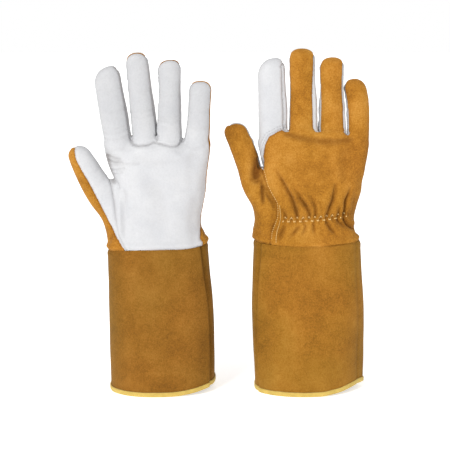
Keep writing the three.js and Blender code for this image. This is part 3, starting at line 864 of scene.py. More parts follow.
def drawn_folds(glove, points, on_back, on_palm):
    """The height of the folds and creases listed above."""
    height = np.zeros(len(points))
    held = 1 - HELD * bell(points[:, 2] - glove.elastic_z(points[:, 0]), HELD_SPREAD)
    for line, width, depth in BACK_FOLDS:
        height += on_back * held * sharp_fold(points, line, width, depth)
    for line, width, depth in BACK_SWELLS:
        height += depth * on_back * ridge(points, line, width)
    for line, width, depth in PALM_FOLDS:
        height += depth * on_palm * ridge(points, line, width)
    for line, width, depth in EDGE_FOLDS:
        line = glove.at_back_edge(line)
        share = share_along(points, line)
        ends = np.sqrt(np.maximum(4 * share * (1 - share), 0))
        height += depth * ends * on_back * ridge(points, line, width)
    for name, place, width, depth in FINGER_CREASES:
        stall = glove.stalls[name]
        across, _, along = stall.across_along(points)
        here = np.abs(across) < stall.width(along / stall.length) * 1.3
        bow = CREASE_BOW * across**2
        height += depth * here * on_palm * bell(along - place - bow, width)
    return height


def gathers(glove, points):
    """The elastic draws the back into puckers that die out above and below it, and into a hollow."""
    start, end = glove.elastic
    share = (points[:, 0] - start) / (end - start)
    inside = smoothstep(-0.1, 0.02, share) * smoothstep(1.1, 0.98, share)
    away = points[:, 2] - glove.elastic_z(points[:, 0])
    pucker = np.cos(2 * np.pi * GATHERS * (share + GATHER_SWAY * away * (share - 0.4)))
    return inside * (PUCKER * pucker * bell(away, PUCKER_SPREAD) - HOLLOW * bell(away, HOLLOW_SPREAD))


def hand_hem(points):
    """The hand's lower edge is rolled in at the seam to the cuff, and stands out more at its two ends."""
    up = points[:, 2] - CUFF_TOP
    ends = smoothstep(38, 50, np.abs(points[:, 0]))
    return -1.1 * bell(up, 1.5) + 0.6 * bell(up - 4, 3) + 1.2 * ends * bell(up - 3, 3)


def finger_lip(glove, points):
    """Under the middle and ring fingers the front leather ends in a lip that lies over the palm."""
    inside = edge_side(points, finger_base_seam(glove))
    lip = 0.45 * bell(inside - 1.6, 1.6) - 0.75 * bell(inside + 0.5, 0.9)
    return lip * smoothstep(276, 268, points[:, 2])


def fold_height(glove, points):
    """How far the leather's folds and creases lift it off its smooth shape, in millimetres."""
    on_back = smoothstep(1, 8, points[:, 1])
    on_palm = smoothstep(1, 8, -points[:, 1])
    height = drawn_folds(glove, points, on_back, on_palm)
    height += on_back * gathers(glove, points)
    height += hand_hem(points)
    height += on_palm * finger_lip(glove, points)
    return height + 0.75 * noise_at(points, (26, 26, 30), 3.7) + 0.2 * noise_at(points, (11, 11, 6), 9.1)


def seam_distances(points, triangles, leather, stall):
    """For every vertex, the distance to the nearest seam of the same stall or of the hand."""
    edges, a, b = shared_edges(triangles)
    seam = leather[a] != leather[b]
    edges, first, second = edges[seam], stall[a[seam]], stall[b[seam]]
    distance = np.full(len(points), FAR)
    of_stall = np.full(len(points), -1)
    of_stall[triangles.ravel()] = np.repeat(stall, 3)
    for number in range(HAND + 1):
        ends = edges[(first == number) | (second == number) | (first == HAND)]
        spots = np.vstack([points[ends[:, 0]], points[ends[:, 1]], points[ends].mean(1)])
        tree = KDTree(len(spots))
        for i, p in enumerate(spots):
            tree.insert(Vector(p), i)
        tree.balance()
        for i in np.where(of_stall == number)[0]:
            distance[i] = tree.find(Vector(points[i]))[2]
    return distance


# ---------------------------------------------------------------- objects
# Painted shade: the inner face, inside the glove, is painted darker.
INNER_PAINTED_SHADE = 0.6  # how dark the leather's inner face is


def new_object(name, points, faces, corner_normals=None, attributes=None):
    """A mesh object from points in metres and faces of three or four corners."""
    mesh = bpy.data.meshes.new(name)
    mesh.from_pydata(points.tolist(), [], faces if isinstance(faces, list) else faces.tolist())
    spot = mesh.attributes.new("spot", "FLOAT_VECTOR", "POINT")
    spot.data.foreach_set("vector", points.astype(np.float32).ravel())
    for key, values in (attributes or {}).items():
        mesh.attributes.new(key, "FLOAT", "POINT").data.foreach_set("value", values.astype(np.float32))
    mesh.shade_smooth()
    if corner_normals is not None:
        mesh.normals_split_custom_set(corner_normals.tolist())
    obj = bpy.data.objects.new(name, mesh)
    bpy.context.scene.collection.objects.link(obj)
    return obj


def leather_object(glove, name, points, normals, triangles, painted_shade, olive):
    """A panel of leather: its outer face, an inner face and the cut edge round it. The last two arguments are
    painted shade: how dark each point is painted in folds, at seams and inside, and how much duller it is
    painted."""
    used, inverse = np.unique(triangles, return_inverse=True)
    inverse = inverse.reshape(-1, 3)
    outer, out = points[used], normals[used]
    inner = outer - out * LEATHER
    count = len(used)
    rim = boundary_edges(inverse)
    a, b = rim[:, 0], rim[:, 1]
    edge = np.vstack([np.column_stack([b, a, a + count]), np.column_stack([b, a + count, b + count])])
    faces = np.vstack([inverse, inverse[:, ::-1] + count, edge])
    everything = np.vstack([outer, inner])
    p0, p1, p2 = (everything[edge[:, i]] for i in range(3))
    flat = np.cross(p1 - p0, p2 - p0)
    flat /= np.maximum(np.linalg.norm(flat, axis=1), 1e-9)[:, None]
    corner = np.vstack([out[inverse].reshape(-1, 3), -out[inverse[:, ::-1]].reshape(-1, 3),
                        np.repeat(flat, 3, axis=0)])
    if glove.palm > 0:  # the world's y runs the other way, so the faces turn round
        faces = faces[:, ::-1]
        corner = corner.reshape(-1, 3, 3)[:, ::-1].reshape(-1, 3)
    corner = corner * np.array([1, -glove.palm, 1])
    inside = np.full(count, INNER_PAINTED_SHADE)
    looks = {"painted_shade": np.concatenate([painted_shade[used], inside]), "olive": np.tile(olive[used], 2)}
    return new_object(name, glove.world(everything), faces, corner, looks)


def wrist_blend(obj):
    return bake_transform(obj)


def stall_blend(glove, name, obj):
    """Bakes the piece's transform into its mesh. Where a finger's leather, or the thumb's, would turn from
    the hand above the crotch is worked out, but nothing is bent.
    """
    stall = glove.stalls[name]
    if name == "thumb":
        start = stall.point(0, 0, glove.shape["thumb_start"] + THUMB_CROTCH)
        way = np.array([stall.sin, 0, stall.cos])
    else:
        start = np.array([stall.x, 0, STALL_START])
        way = np.array([0, -WEB_SLOPE, 1]) / math.hypot(WEB_SLOPE, 1)
    low, high = (Vector(glove.world(p)[0]) for p in (start, start + KNUCKLE_BEND * way))
    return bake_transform(obj)


SEAM_DEPTH = 0.9  # of the groove along a seam
HAND_PANELS = ("palm_panel", "back_panel", "thumb_root_front", "thumb_root_back")
# Painted shade, as ([(x, z), ...], half width, strength): in the hollow where the thumb meets the palm, from
# the palm seam's first point, and on the back beside the back panel's edge.
PALM_PAINTED_SHADE = [([(-5, 33), (-2.5, 20), (1.2, 6)], 2.6, 1.3), ([(-4, 34), (4, 28)], 5.5, 0.6)]
BACK_PAINTED_SHADE = [([(-49, 252), (-50.5, 240), (-52.3, 231), (-52, 227)], 6.4, 0.85)]


def hand_shade(glove, points, height, seam):
    """Painted shade: how dark the leather is painted in its folds, at its seams, in the hollow by the thumb
    and beside the back panel's edge.
    """
    # Painted shade where the folds sink in and along the seams.
    painted_shade = np.clip((-height - 0.3) / 3.7, 0, 1) * 0.85 + 0.45 * bell(seam, 0.9)
    x, z = glove.shape["palm_seam"][0]
    # Painted shade in the hollow by the thumb, and on the back beside the back panel's edge.
    for line, width, amount in PALM_PAINTED_SHADE:
        line = [(x + dx, z + dz) for dx, dz in line]
        painted_shade += amount * smoothstep(7, 0, points[:, 1]) * ridge(points, line, width)
    for line, width, amount in BACK_PAINTED_SHADE:
        on_back = 1 - smoothstep(3, -3, points[:, 1])
        painted_shade += amount * on_back * ridge(points, glove.at_back_edge(line), width)
    return painted_shade


def leather_title(number, name):
    """What a piece is called: where a finger's leather ends on the hand, that end is its foot."""
    if number == HAND:
        return name if name in HAND_PANELS else f"{name}_foot"
    stall = STALLS[number]
    return name if name.startswith(stall) else f"{stall}_{name}"


def make_hand(glove, materials):
    """Every panel of the hand, the fingers and the thumb. Returns the surface, for the stitches to lie on."""
    points, triangles, stall, panel = mesh_hand(glove)
    leather = leather_of(panel)
    normals = vertex_normals(points, triangles)
    seam = seam_distances(points, triangles, leather, stall)
    height = fold_height(glove, points)
    height += -SEAM_DEPTH * bell(seam, 1.25) + 0.3 * bell(seam - 3.2, 2)
    points = points + height[:, None] * normals
    painted_shade = hand_shade(glove, points, height, seam)
    # Painted shade: the fingers' palm side is painted greyer, more so towards the tips.
    finger_painted_shade = smoothstep(3, -3, points[:, 1]) * smoothstep(250, 292, points[:, 2])
    by_leather = {k: vertex_normals(points, triangles[leather == k]) for k in np.unique(leather)}
    for number in range(HAND + 1):
        for k in np.unique(panel[stall == number]):
            part = triangles[(stall == number) & (panel == k)]
            name = PANELS[k]
            tan = name in TAN_PANELS
            smooth = by_leather[leather_of(np.array([k]))[0]]
            title = f"{glove.hand}_{leather_title(number, name)}_leather"
            obj = leather_object(glove, title, points, smooth, part, painted_shade, 0 * finger_painted_shade if tan else finger_painted_shade)
            obj.data.materials.append(materials["suede" if tan else "grain"])
            if number != HAND or name in HAND_PANELS:
                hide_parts(f"{glove.hand}_{name}")
            if number == HAND:
                wrist_blend(obj)
            else:
                stall_blend(glove, STALLS[number], obj)
    return points, triangles


# ---------------------------------------------------------------- cuff
def cuff_ring(glove, turn, z):
    """Points of the cuff's section, and their outward directions, at angles and heights."""
    left, right, depth = glove.cuff_left(z), glove.cuff_right(z), glove.cuff_depth(z)
    half = (right - left) / 2
    c, s = np.cos(turn), np.sin(turn)
    x = (left + right) / 2 + half * np.sign(c) * np.abs(c) ** 0.8
    # The higher this power, the more pointed is the section at the little finger's side.
    power = 0.8 + 1.0 * glove.corner * smoothstep(-0.1, 0.3, c) * smoothstep(110, 0, z)
    flat = np.maximum(np.abs(s), 1e-4)
    q = depth * np.sign(s) * flat**power
    nx = power * flat ** (power - 0.8) * np.sign(c) * np.abs(c) ** 1.2 / half
    nq = 0.8 * np.sign(s) * flat**1.2 / depth
    size = np.hypot(nx, nq)
    share = np.clip((x - (left + right) / 2) / half, 0, 1)
    lift = glove.hem(share) * np.clip(1 - z / CUFF_TOP, 0, 1)
    return np.stack([x, q, z + lift], -1), np.stack([nx / size, nq / size, 0 * nx], -1)


def cuff_seam_turns(glove, z):
    """The angles of the little finger's side seam and the thumb's, at one height."""
    turn = np.linspace(-math.pi / 2, 3 * math.pi / 2, 4001)
    spot, _ = cuff_ring(glove, turn, np.full_like(turn, z))
    off = spot[:, 1] + SEAM_TURN * spot[:, 0]
    cross = np.where(np.sign(off[1:]) != np.sign(off[:-1]))[0]
    little = [turn[i] for i in cross if abs(turn[i]) < 1.3]
    thumb = [turn[i] for i in cross if abs(turn[i] - math.pi) < 1.3]
    return little[0], thumb[0]


def cuff_dents(flat):
    """The soft dents of the cuff's leather, in millimetres."""
    return 1.5 * noise_at(flat, (46, 46, 70), 1.3) + 0.4 * noise_at(flat, (19, 19, 26), 5.9)


ROLL = 1.9  # the width of a cuff panel's rolled edge
PROUD_SPREAD, DRAWN_SPREAD = 7, 5  # how far from the seam one panel stands proud and the other is drawn in


def cuff_height(spot, over, edge):
    """How far the cuff's leather is lifted off its smooth section. At a side seam one panel (over) lies over
    the other: its edge stands proud and is rolled in, and the other panel is drawn in under it."""
    height = cuff_dents(spot.reshape(-1, 3)).reshape(over.shape)
    up = CUFF_TOP - spot[..., 2]
    height += -1.0 * bell(up, 1.6) + 0.45 * bell(up - 4, 2.6)
    low = smoothstep(CUFF_TOP, CUFF_TOP - 60, spot[..., 2])
    held = 0.22 + 0.78 * smoothstep(3, 20, spot[..., 2])
    deep = (2.2 + 2.8 * low) * held
    roll = np.sqrt(1 - (1 - np.clip(edge / ROLL, 0, 1)) ** 2)
    proud = (1.2 + 1.5 * low) * held * bell(edge, PROUD_SPREAD) * roll - deep * (1 - roll)
    height -= 0.9 * cuff_fold(spot)
    return height + np.where(over, proud, -deep * bell(edge, DRAWN_SPREAD))


def cuff_fold(spot):
    """A fold down the back of the cuff close to its little finger's side, from 0 to 1."""
    side = spot[..., 0] - 57.2 + 4.0 * smoothstep(60, CUFF_TOP, spot[..., 2])
    return bell(side, 1.2) * smoothstep(2, 8, spot[..., 1])


PANEL_COLUMNS = 64  # columns across a cuff panel, and the height of a row, both on the coarse mesh
CUFF_ROW = 2.0
CUFF_FOOT = 1.5  # the cuff's lowest row
# Distances of a cuff panel's first columns from its side seam.
SEAM_COLUMNS = np.array([0, 0.1, 0.3, 0.6, 1.0, 1.5, 2.0, 2.7, 3.6, 4.7, 6, 7.6, 9.4, 11.4])


def panel_row(glove, label, z):
    """The angles of one row across a cuff panel, their distances from the nearer side seam, and whether the
    panel lies over the other one there: the palm's does at the little finger and the back's at the thumb."""
    little, thumb = cuff_seam_turns(glove, z)
    start, end = (thumb, little + 2 * math.pi) if label == "palm" else (little, thumb)
    rough = np.linspace(start, end, 600)
    spot, _ = cuff_ring(glove, rough, np.full(600, z))
    run = np.concatenate([[0], np.cumsum(np.linalg.norm(np.diff(spot, axis=0), axis=1))])
    middle = np.linspace(0, 1, int(PANEL_COLUMNS * FINE / GRID))[1:-1]
    first, last = SEAM_COLUMNS[-1], run[-1] - SEAM_COLUMNS[-1]
    at = np.concatenate([SEAM_COLUMNS, first + (last - first) * middle, run[-1] - SEAM_COLUMNS[::-1]])
    return np.interp(at, run, rough), np.minimum(at, run[-1] - at), at > run[-1] / 2


def make_cuff(glove, materials):
    rows = 1 + int((CUFF_TOP - CUFF_FOOT) / (CUFF_ROW * GRID / FINE))
    heights = np.linspace(CUFF_FOOT, CUFF_TOP - 0.3, rows)
    for label in ("palm", "back"):
        turn, edge, over = (np.array(v) for v in zip(*(panel_row(glove, label, z) for z in heights)))
        columns = turn.shape[1]
        spot, out = cuff_ring(glove, turn, np.repeat(heights[:, None], columns, axis=1))
        height = cuff_height(spot, over, edge)
        shadow = 0.5 if label == "palm" else 1.0
        # Painted shade: the proud panel is painted dark along its edge only, and the other one with a painted
        # shadow beside it.
        painted_shade = np.where(over, 0.9 * bell(edge, 0.7), shadow * bell(edge, 3.0))
        # Painted shade in the fold down the back.
        painted_shade += 0.25 * cuff_fold(spot)
        points = (spot + height[..., None] * out).reshape(-1, 3)
        i = np.arange(rows * columns).reshape(rows, columns)
        a, b, c, d = i[:-1, :-1].ravel(), i[:-1, 1:].ravel(), i[1:, 1:].ravel(), i[1:, :-1].ravel()
        triangles = np.vstack([np.column_stack([a, b, c]), np.column_stack([a, c, d])])
        normals = vertex_normals(points, triangles)
        # Painted shade: the cuff is painted duller and darker towards its left and right sides, which turn
        # away from the front.
        dull = smoothstep(0.45, 1.0, np.abs(np.cos(turn)))
        obj = leather_object(glove, f"{glove.hand}_cuff_{label}_leather", points, normals, triangles,
                             painted_shade.ravel(), dull.ravel())
        obj.data.materials.append(materials[f"{glove.hand}_cuff"])
        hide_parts(f"{glove.hand}_cuff_{label}_panel")
        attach(obj, f"{glove.hand}_cuff")


BINDING_TALL = 5.0
BINDING_PUCKERS = 78  # in each radian
# The tape's section: (outwards from the cuff's outer face, up from the hem).
BINDING_SECTION = [
    (0.15, BINDING_TALL), (0.75, BINDING_TALL - 0.1), (1.15, BINDING_TALL - 0.7), (1.25, 3.1), (1.2, 1.2),
    (0.8, 0.3), (0.0, 0.0), (-1.3, 0.0), (-2.1, 0.3), (-2.5, 1.2), (-2.55, 3.1), (-2.45, BINDING_TALL - 0.7),
    (-2.05, BINDING_TALL - 0.1), (-1.45, BINDING_TALL), (-1.4, 1.4), (0.1, 1.4)]


def make_binding(glove, materials):
    # Each side seam's column belongs to both panels, and the tape keeps one of the two.
    rows = [[column[1:] for column in panel_row(glove, label, CUFF_FOOT)] for label in ("palm", "back")]
    turn = np.concatenate([rows[0][0], rows[1][0] + 2 * math.pi])
    edge, over = (np.concatenate([rows[0][i], rows[1][i]]) for i in (1, 2))
    around = len(turn)
    spot, way = cuff_ring(glove, turn, np.full(around, CUFF_FOOT))
    line = (spot + cuff_height(spot, over, edge)[:, None] * way)[:, :2]
    along = np.roll(line, -1, axis=0) - np.roll(line, 1, axis=0)
    along /= np.linalg.norm(along, axis=1)[:, None]
    out_way = np.column_stack([along[:, 1], -along[:, 0], np.zeros(around)])
    hem = cuff_ring(glove, turn, np.zeros(around))[0][:, 2]
    rings = []
    for out, up in BINDING_SECTION:
        pucker = 0.12 * np.sin(turn * BINDING_PUCKERS) * (up / BINDING_TALL)
        wave = 0.35 * noise_at(spot, (9, 9, 9), 2.2) * (up / BINDING_TALL)
        place = np.column_stack([line, hem]) + (out + (pucker + wave) * (0 < out))[:, None] * out_way
        place[:, 2] += up + 0.25 * noise_at(spot, (12, 12, 12), 7.7) * (up > 4)
        rings.append(place)
    count = len(rings)
    points = np.stack(rings, 1).reshape(-1, 3)
    faces = []
    for j in range(around):
        for k in range(count):
            a, b = j * count + k, j * count + (k + 1) % count
            c, d = ((j + 1) % around) * count + (k + 1) % count, ((j + 1) % around) * count + k
            faces.append([a, b, c, d] if glove.palm < 0 else [d, c, b, a])
    obj = new_object(f"{glove.hand}_hem_tape", glove.world(points), faces)
    obj.data.materials.append(materials["binding"])
    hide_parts(f"{glove.hand}_hem_binding")
    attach(obj, f"{glove.hand}_cuff")


# ---------------------------------------------------------------- thread and elastic
CLEAR = 60.0  # further to the back than any of the hand


def surface_tree(points, triangles):
    return BVHTree.FromPolygons([Vector(p) for p in points], triangles.tolist())


def drop(tree, x, z):
    """The point of the leather at x and z, seen from the back, and its normal."""
    hit = tree.ray_cast(Vector((x, CLEAR, z)), Vector((0, -1, 0)))
    return None if hit[0] is None else (np.array(hit[0]), np.array(hit[1]))


ZIGZAG = 2.5  # half the height of the zigzag over the elastic
# A stitch's rings: (place from its one end to the other, height over the leather, thickness).
PLAIN_STITCH = [(0, -0.45, 0.6), (0, 0.1, 0.95), (0.5, 0.38, 1), (1, 0.1, 0.95), (1, -0.45, 0.6)]
# A zigzag's thread is pulled into the nap between its corners, so that mostly the corners show.
SUNK_STITCH = [(0, -0.6, 1.0), (0, 0.25, 2.0), (0.1, 0.5, 2.0), (0.22, 0.2, 1.1), (0.32, -0.45, 0.8),
               (0.68, -0.45, 0.8), (0.78, 0.2, 1.1), (0.9, 0.5, 2.0), (1, 0.25, 2.0), (1, -0.6, 1.0)]
SIDES = 8  # of a thread's section


def capsule(points, faces, a, b, c, out, radius, rings):
    """One stitch: a thin thread from a over b to c that dips into the leather at both ends."""
    base = len(points)
    way = (c - a) / max(np.linalg.norm(c - a), 1e-6)
    across = np.cross(way, out)
    for share, lift, size in rings:
        if share < 0.5:
            spot = (1 - 2 * share) * a + 2 * share * b
        else:
            spot = (2 - 2 * share) * b + (2 * share - 1) * c
        for k in range(SIDES):
            t = 2 * math.pi * k / SIDES
            points.append(spot + lift * out + radius * size * (math.cos(t) * across + math.sin(t) * out))
    for low in range(base, base + (len(rings) - 1) * SIDES, SIDES):
        high = low + SIDES
        for k in range(SIDES):
            faces.append([low + k, high + k, high + (k + 1) % SIDES, low + (k + 1) % SIDES])
    faces.append([base + k for k in range(SIDES)])
    last = base + (len(rings) - 1) * SIDES
    faces.append([last + k for k in reversed(range(SIDES))])


def along_line(line, step):
    """Points at even steps along a line in x and z."""
    line = np.array(line, float)
    lengths = np.concatenate([[0], np.cumsum(np.linalg.norm(np.diff(line, axis=0), axis=1))])
    at = np.arange(0, lengths[-1], step)
    return np.column_stack([np.interp(at, lengths, line[:, k]) for k in range(2)])


def beside(line, offset):
    """A line moved sideways in x and z, positive to its right as it runs downwards."""
    line = np.array(line, float)
    way = np.gradient(line, axis=0)
    way /= np.linalg.norm(way, axis=1)[:, None]
    return line + offset * np.column_stack([-way[:, 1], way[:, 0]])


def stitch_row(tree, ends, radius, rings=PLAIN_STITCH):
    """Stitches between pairs of points in x and z, but none where the leather turns away or is stepped."""
    points, faces = [], []
    for (x0, z0), (x1, z1) in ends:
        hits = [drop(tree, x, z) for x, z in ((x0, z0), ((x0 + x1) / 2, (z0 + z1) / 2), (x1, z1))]
        if None in hits or hits[1][1][1] < 0.25:
            continue
        if max(np.linalg.norm(hits[i][0] - hits[1][0]) for i in (0, 2)) > 4.5:
            continue
        capsule(points, faces, hits[0][0], hits[1][0], hits[2][0], hits[1][1], radius, rings)
    return points, faces


def add_thread(glove, name, rows, material, replaced=()):
    """One piece from rows of stitches."""
    points, faces = [], []
    for row_points, row_faces in rows:
        faces += [[i + len(points) for i in f] for f in row_faces]
        points += row_points
    if glove.palm > 0:
        faces = [f[::-1] for f in faces]
    obj = new_object(f"{glove.hand}_{name}", glove.world(np.array(points)), faces)
    obj.data.materials.append(material)
    for node in replaced:
        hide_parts(f"{glove.hand}_{node}")
    wrist_blend(obj)


def stitches_along(tree, line, pitch, length, radius):
    """Stitches of a length, one each pitch, along a line in x and z."""
    step = 0.25
    spots = along_line(line, step)
    count, size = int(pitch / step), int(length / step)
    ends = [(tuple(spots[i]), tuple(spots[i + size])) for i in range(0, len(spots) - size - 1, count)]
    return stitch_row(tree, ends, radius)


def make_thread(glove, tree, materials):
    corners = 2 * GATHERS
    at = np.linspace(*glove.elastic, corners + 1)
    level = glove.elastic_z(at) + np.where(np.arange(corners + 1) % 2, ZIGZAG, -ZIGZAG)
    zigzag = [((at[i], level[i]), (at[i + 1], level[i + 1])) for i in range(corners)]
    add_thread(glove, "gather_stitching", [stitch_row(tree, zigzag, 0.33, SUNK_STITCH)],
               materials["thread"], ["shirring_thread"])
    # Two rows beside the back panel's edge at the knuckles, and one on each side of the seam at the thumb.
    edge = np.array(glove.back_edge)
    high = edge[(edge[:, 1] < STALL_START + 6) & (edge[:, 1] > 240)]
    low = edge[(edge[:, 1] < glove.stalls["thumb"].z + 16) & (edge[:, 1] > 150)]
    rows = [stitches_along(tree, beside(high, -offset), 3.0, 2.2, 0.34) for offset in (2.2, 4.6)]
    add_thread(glove, "knuckle_topstitching", rows, materials["white_thread"])
    rows = [stitches_along(tree, beside(low, 1.4), 2.5, 1.6, 0.26),
            stitches_along(tree, glove.second_row, 2.6, 2.3, 0.27)]
    add_thread(glove, "thumb_seam_topstitching", rows, materials["thread"])


ELASTIC_HALF = 4  # half the tape's width
ELASTIC_THICK = 0.8


def running(window, values, size):
    """What window makes of the values round each value, size of them."""
    padded = np.pad(values, size // 2, mode="edge")
    return window(np.lib.stride_tricks.sliding_window_view(padded, size), axis=1)


def make_elastic(glove, tree, materials):
    """The elastic tape, sewn flat to the inside of the gathered back: it touches the bottoms of the folds."""
    columns = 120
    x = np.linspace(*glove.elastic, columns)
    low_z, high_z = (glove.elastic_z(x) + up for up in (-ELASTIC_HALF, ELASTIC_HALF))
    floors = []
    for z in (low_z, high_z):
        hits = [drop(tree, a, b) for a, b in zip(x, z)]
        inner = np.array([spot[1] - (LEATHER + 0.3) / max(normal[1], 0.4) for spot, normal in hits])
        floors.append(running(np.mean, running(np.min, inner, 13), 9))
    q = np.minimum(*floors)
    corners = ((0, low_z), (0, high_z), (ELASTIC_THICK, high_z), (ELASTIC_THICK, low_z))
    rings = [np.column_stack([x, q - inward, z]) for inward, z in corners]
    points = np.stack(rings, 1).reshape(-1, 3)
    faces = [[4 * j + k, 4 * j + (k + 1) % 4, 4 * j + 4 + (k + 1) % 4, 4 * j + 4 + k]
             for j in range(columns - 1) for k in range(4)]
    faces += [[3, 2, 1, 0], [4 * columns - 4, 4 * columns - 3, 4 * columns - 2, 4 * columns - 1]]
    if glove.palm > 0:
        faces = [f[::-1] for f in faces]
    obj = new_object(f"{glove.hand}_elastic_tape", glove.world(points), faces)
    obj.data.materials.append(materials["elastic"])
    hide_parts(f"{glove.hand}_wrist_elastic")
    wrist_blend(obj)


# ---------------------------------------------------------------- materials
class Nodes:
    """A material's node tree, with short ways to add to it."""

    def __init__(self, name, roughness):
        self.material = bpy.data.materials.new(name)
        self.material.use_nodes = True
        self.tree = self.material.node_tree
        self.shader = self.tree.nodes["Principled BSDF"]
        self.shader.inputs["Roughness"].default_value = roughness
        spot = self.tree.nodes.new("ShaderNodeAttribute")
        spot.attribute_name = "spot"
        self.spot = spot.outputs["Vector"]

    def add(self, kind, inputs=None, **settings):
        node = self.tree.nodes.new(kind)
        for key, value in settings.items():
            setattr(node, key, value)
        for key, value in (inputs or {}).items():
            if isinstance(value, bpy.types.NodeSocket):
                self.tree.links.new(value, node.inputs[key])
            else:
                node.inputs[key].default_value = value
        return node

    def stretched(self, scale):
        return self.add("ShaderNodeMapping", {"Vector": self.spot, "Scale": scale}).outputs[0]

    def noise(self, scale, detail, roughness, vector=None):
        inputs = {"Vector": vector or self.spot, "Scale": scale, "Detail": detail, "Roughness": roughness}
        return self.add("ShaderNodeTexNoise", inputs).outputs["Fac"]

    def attribute(self, name):
        node = self.tree.nodes.new("ShaderNodeAttribute")
        node.attribute_name = name
        return node.outputs["Fac"]

    def ramp(self, value, stops):
        node = self.add("ShaderNodeValToRGB", {"Fac": value})
        while len(node.color_ramp.elements) < len(stops):
            node.color_ramp.elements.new(0.5)
        for element, (place, colour) in zip(node.color_ramp.elements, stops):
            element.position = place
            element.color = (*colour, 1)
        return node.outputs["Color"]

    def math(self, kind, a, b):
        return self.add("ShaderNodeMath", {0: a, 1: b}, operation=kind).outputs[0]

    def mix(self, kind, amount, a, b):
        node = self.add("ShaderNodeMix", data_type="RGBA", blend_type=kind)
        for socket, value in ((node.inputs[0], amount), (node.inputs[6], a), (node.inputs[7], b)):
            if isinstance(value, bpy.types.NodeSocket):
                self.tree.links.new(value, socket)
            else:
                socket.default_value = value
        return node.outputs[2]

    def bump(self, height, distance, strength, normal=None):
        inputs = {"Height": height, "Distance": distance, "Strength": strength}
        if normal is not None:
            inputs["Normal"] = normal
        return self.add("ShaderNodeBump", inputs).outputs[0]

    def finish(self, colour, normal):
        self.tree.links.new(colour, self.shader.inputs["Base Color"])
        self.tree.links.new(normal, self.shader.inputs["Normal"])
        return self.material


def suede(name, dark, middle, light, olive, uneven=0.32):
    """Split leather: a short nap that lies in patches, with painted shade in its creases and at its seams."""
    n = Nodes(name, 0.92)
    patches = n.noise(24, 3, 0.5)
    cloud = n.noise(110, 4, 0.6)
    nap = n.noise(620, 4, 0.7)
    fibre = n.noise(1900, 3, 0.7, n.stretched((1, 1, 0.5)))
    value = n.math("ADD", n.math("MULTIPLY", patches, uneven), n.math("MULTIPLY", cloud, 0.14))
    value = n.math("ADD", value, n.math("MULTIPLY", nap, 0.36))
    value = n.math("ADD", value, n.math("MULTIPLY", fibre, 0.26))
    value = n.math("SUBTRACT", value, (uneven + 0.76) / 2 - 0.5)
    colour = n.ramp(value, [(0.39, dark), (0.50, middle), (0.64, light)])
    tint = n.ramp(n.noise(13, 2, 0.5), [(0.38, (1, 1, 1)), (0.66, olive)])
    colour = n.mix("MULTIPLY", 1.0, colour, tint)
    # Painted shade: duller and darker towards the cuff's sides.
    colour = n.mix("MULTIPLY", n.attribute("olive"), colour, (0.84, 0.88, 0.86, 1))
    # Painted shade: darker in the folds, at the seams and on the inner face.
    shade = n.math("MULTIPLY", n.attribute("painted_shade"), 0.8)
    colour = n.mix("MULTIPLY", shade, colour, (0.36, 0.28, 0.20, 1))
    grain = n.bump(n.math("ADD", nap, n.math("MULTIPLY", fibre, 0.7)), 0.0009, 0.6)
    normal = n.bump(cloud, 0.0014, 0.3, grain)
    n.shader.inputs["Sheen Weight"].default_value = 0.15
    n.shader.inputs["Sheen Roughness"].default_value = 0.5
    n.shader.inputs["Sheen Tint"].default_value = (1.0, 0.72, 0.30, 1)
    n.shader.inputs["Specular IOR Level"].default_value = 0.12
    return n.finish(colour, normal)


def grain_leather():
    """Smooth white grain leather: fine pores, soft wrinkles and a dull gloss."""
    n = Nodes("white_grain", 0.52)
    pores = n.add("ShaderNodeTexVoronoi", {"Vector": n.spot, "Scale": 1100.0}).outputs["Distance"]
    grain = n.noise(520, 4, 0.6)
    soft = n.noise(42, 3, 0.5)
    wrinkle = n.noise(150, 3, 0.55, n.stretched((0.45, 0.45, 1.6)))
    colour = n.ramp(soft, [(0.3, (0.528, 0.531, 0.547)), (0.7, (0.582, 0.582, 0.59))])
    fleck = n.ramp(grain, [(0.3, (0.93, 0.93, 0.93)), (0.6, (1, 1, 1))])
    colour = n.mix("MULTIPLY", 1.0, colour, fleck)
    # Painted shade: darker in the folds, at the seams and on the inner face.
    shade = n.math("MULTIPLY", n.attribute("painted_shade"), 0.6)
    colour = n.mix("MULTIPLY", shade, colour, (0.50, 0.475, 0.46, 1))
    # Painted shade: greyer on the fingers' palm side.
    colour = n.mix("MULTIPLY", n.attribute("olive"), colour, (0.885, 0.885, 0.885, 1))
    fine = n.bump(n.math("ADD", n.math("MULTIPLY", pores, 0.6), grain), 0.00035, 0.35)
    normal = n.bump(wrinkle, 0.0012, 0.22, fine)
    n.shader.inputs["Specular IOR Level"].default_value = 0.35
    n.shader.inputs["Coat Weight"].default_value = 0.05
    n.shader.inputs["Coat Roughness"].default_value = 0.4
    return n.finish(colour, normal)


def woven(name, dark, light, scale):
    """A woven tape: fine crossed threads."""
    n = Nodes(name, 0.75)
    ribs = n.add("ShaderNodeTexWave", {"Vector": n.spot, "Scale": scale, "Distortion": 0.6, "Detail": 1.0},
                 bands_direction="DIAGONAL").outputs["Fac"]
    picks = n.add("ShaderNodeTexWave", {"Vector": n.spot, "Scale": scale * 1.3, "Distortion": 0.6},
                  bands_direction="Z").outputs["Fac"]
    weave = n.math("MULTIPLY", ribs, picks)
    uneven = n.noise(160, 3, 0.6)
    value = n.math("ADD", n.math("MULTIPLY", weave, 0.35), n.math("MULTIPLY", uneven, 0.8))
    colour = n.ramp(value, [(0.25, dark), (0.75, light)])
    normal = n.bump(weave, 0.0003, 0.5)
    n.shader.inputs["Sheen Weight"].default_value = 0.1
    return n.finish(colour, normal)


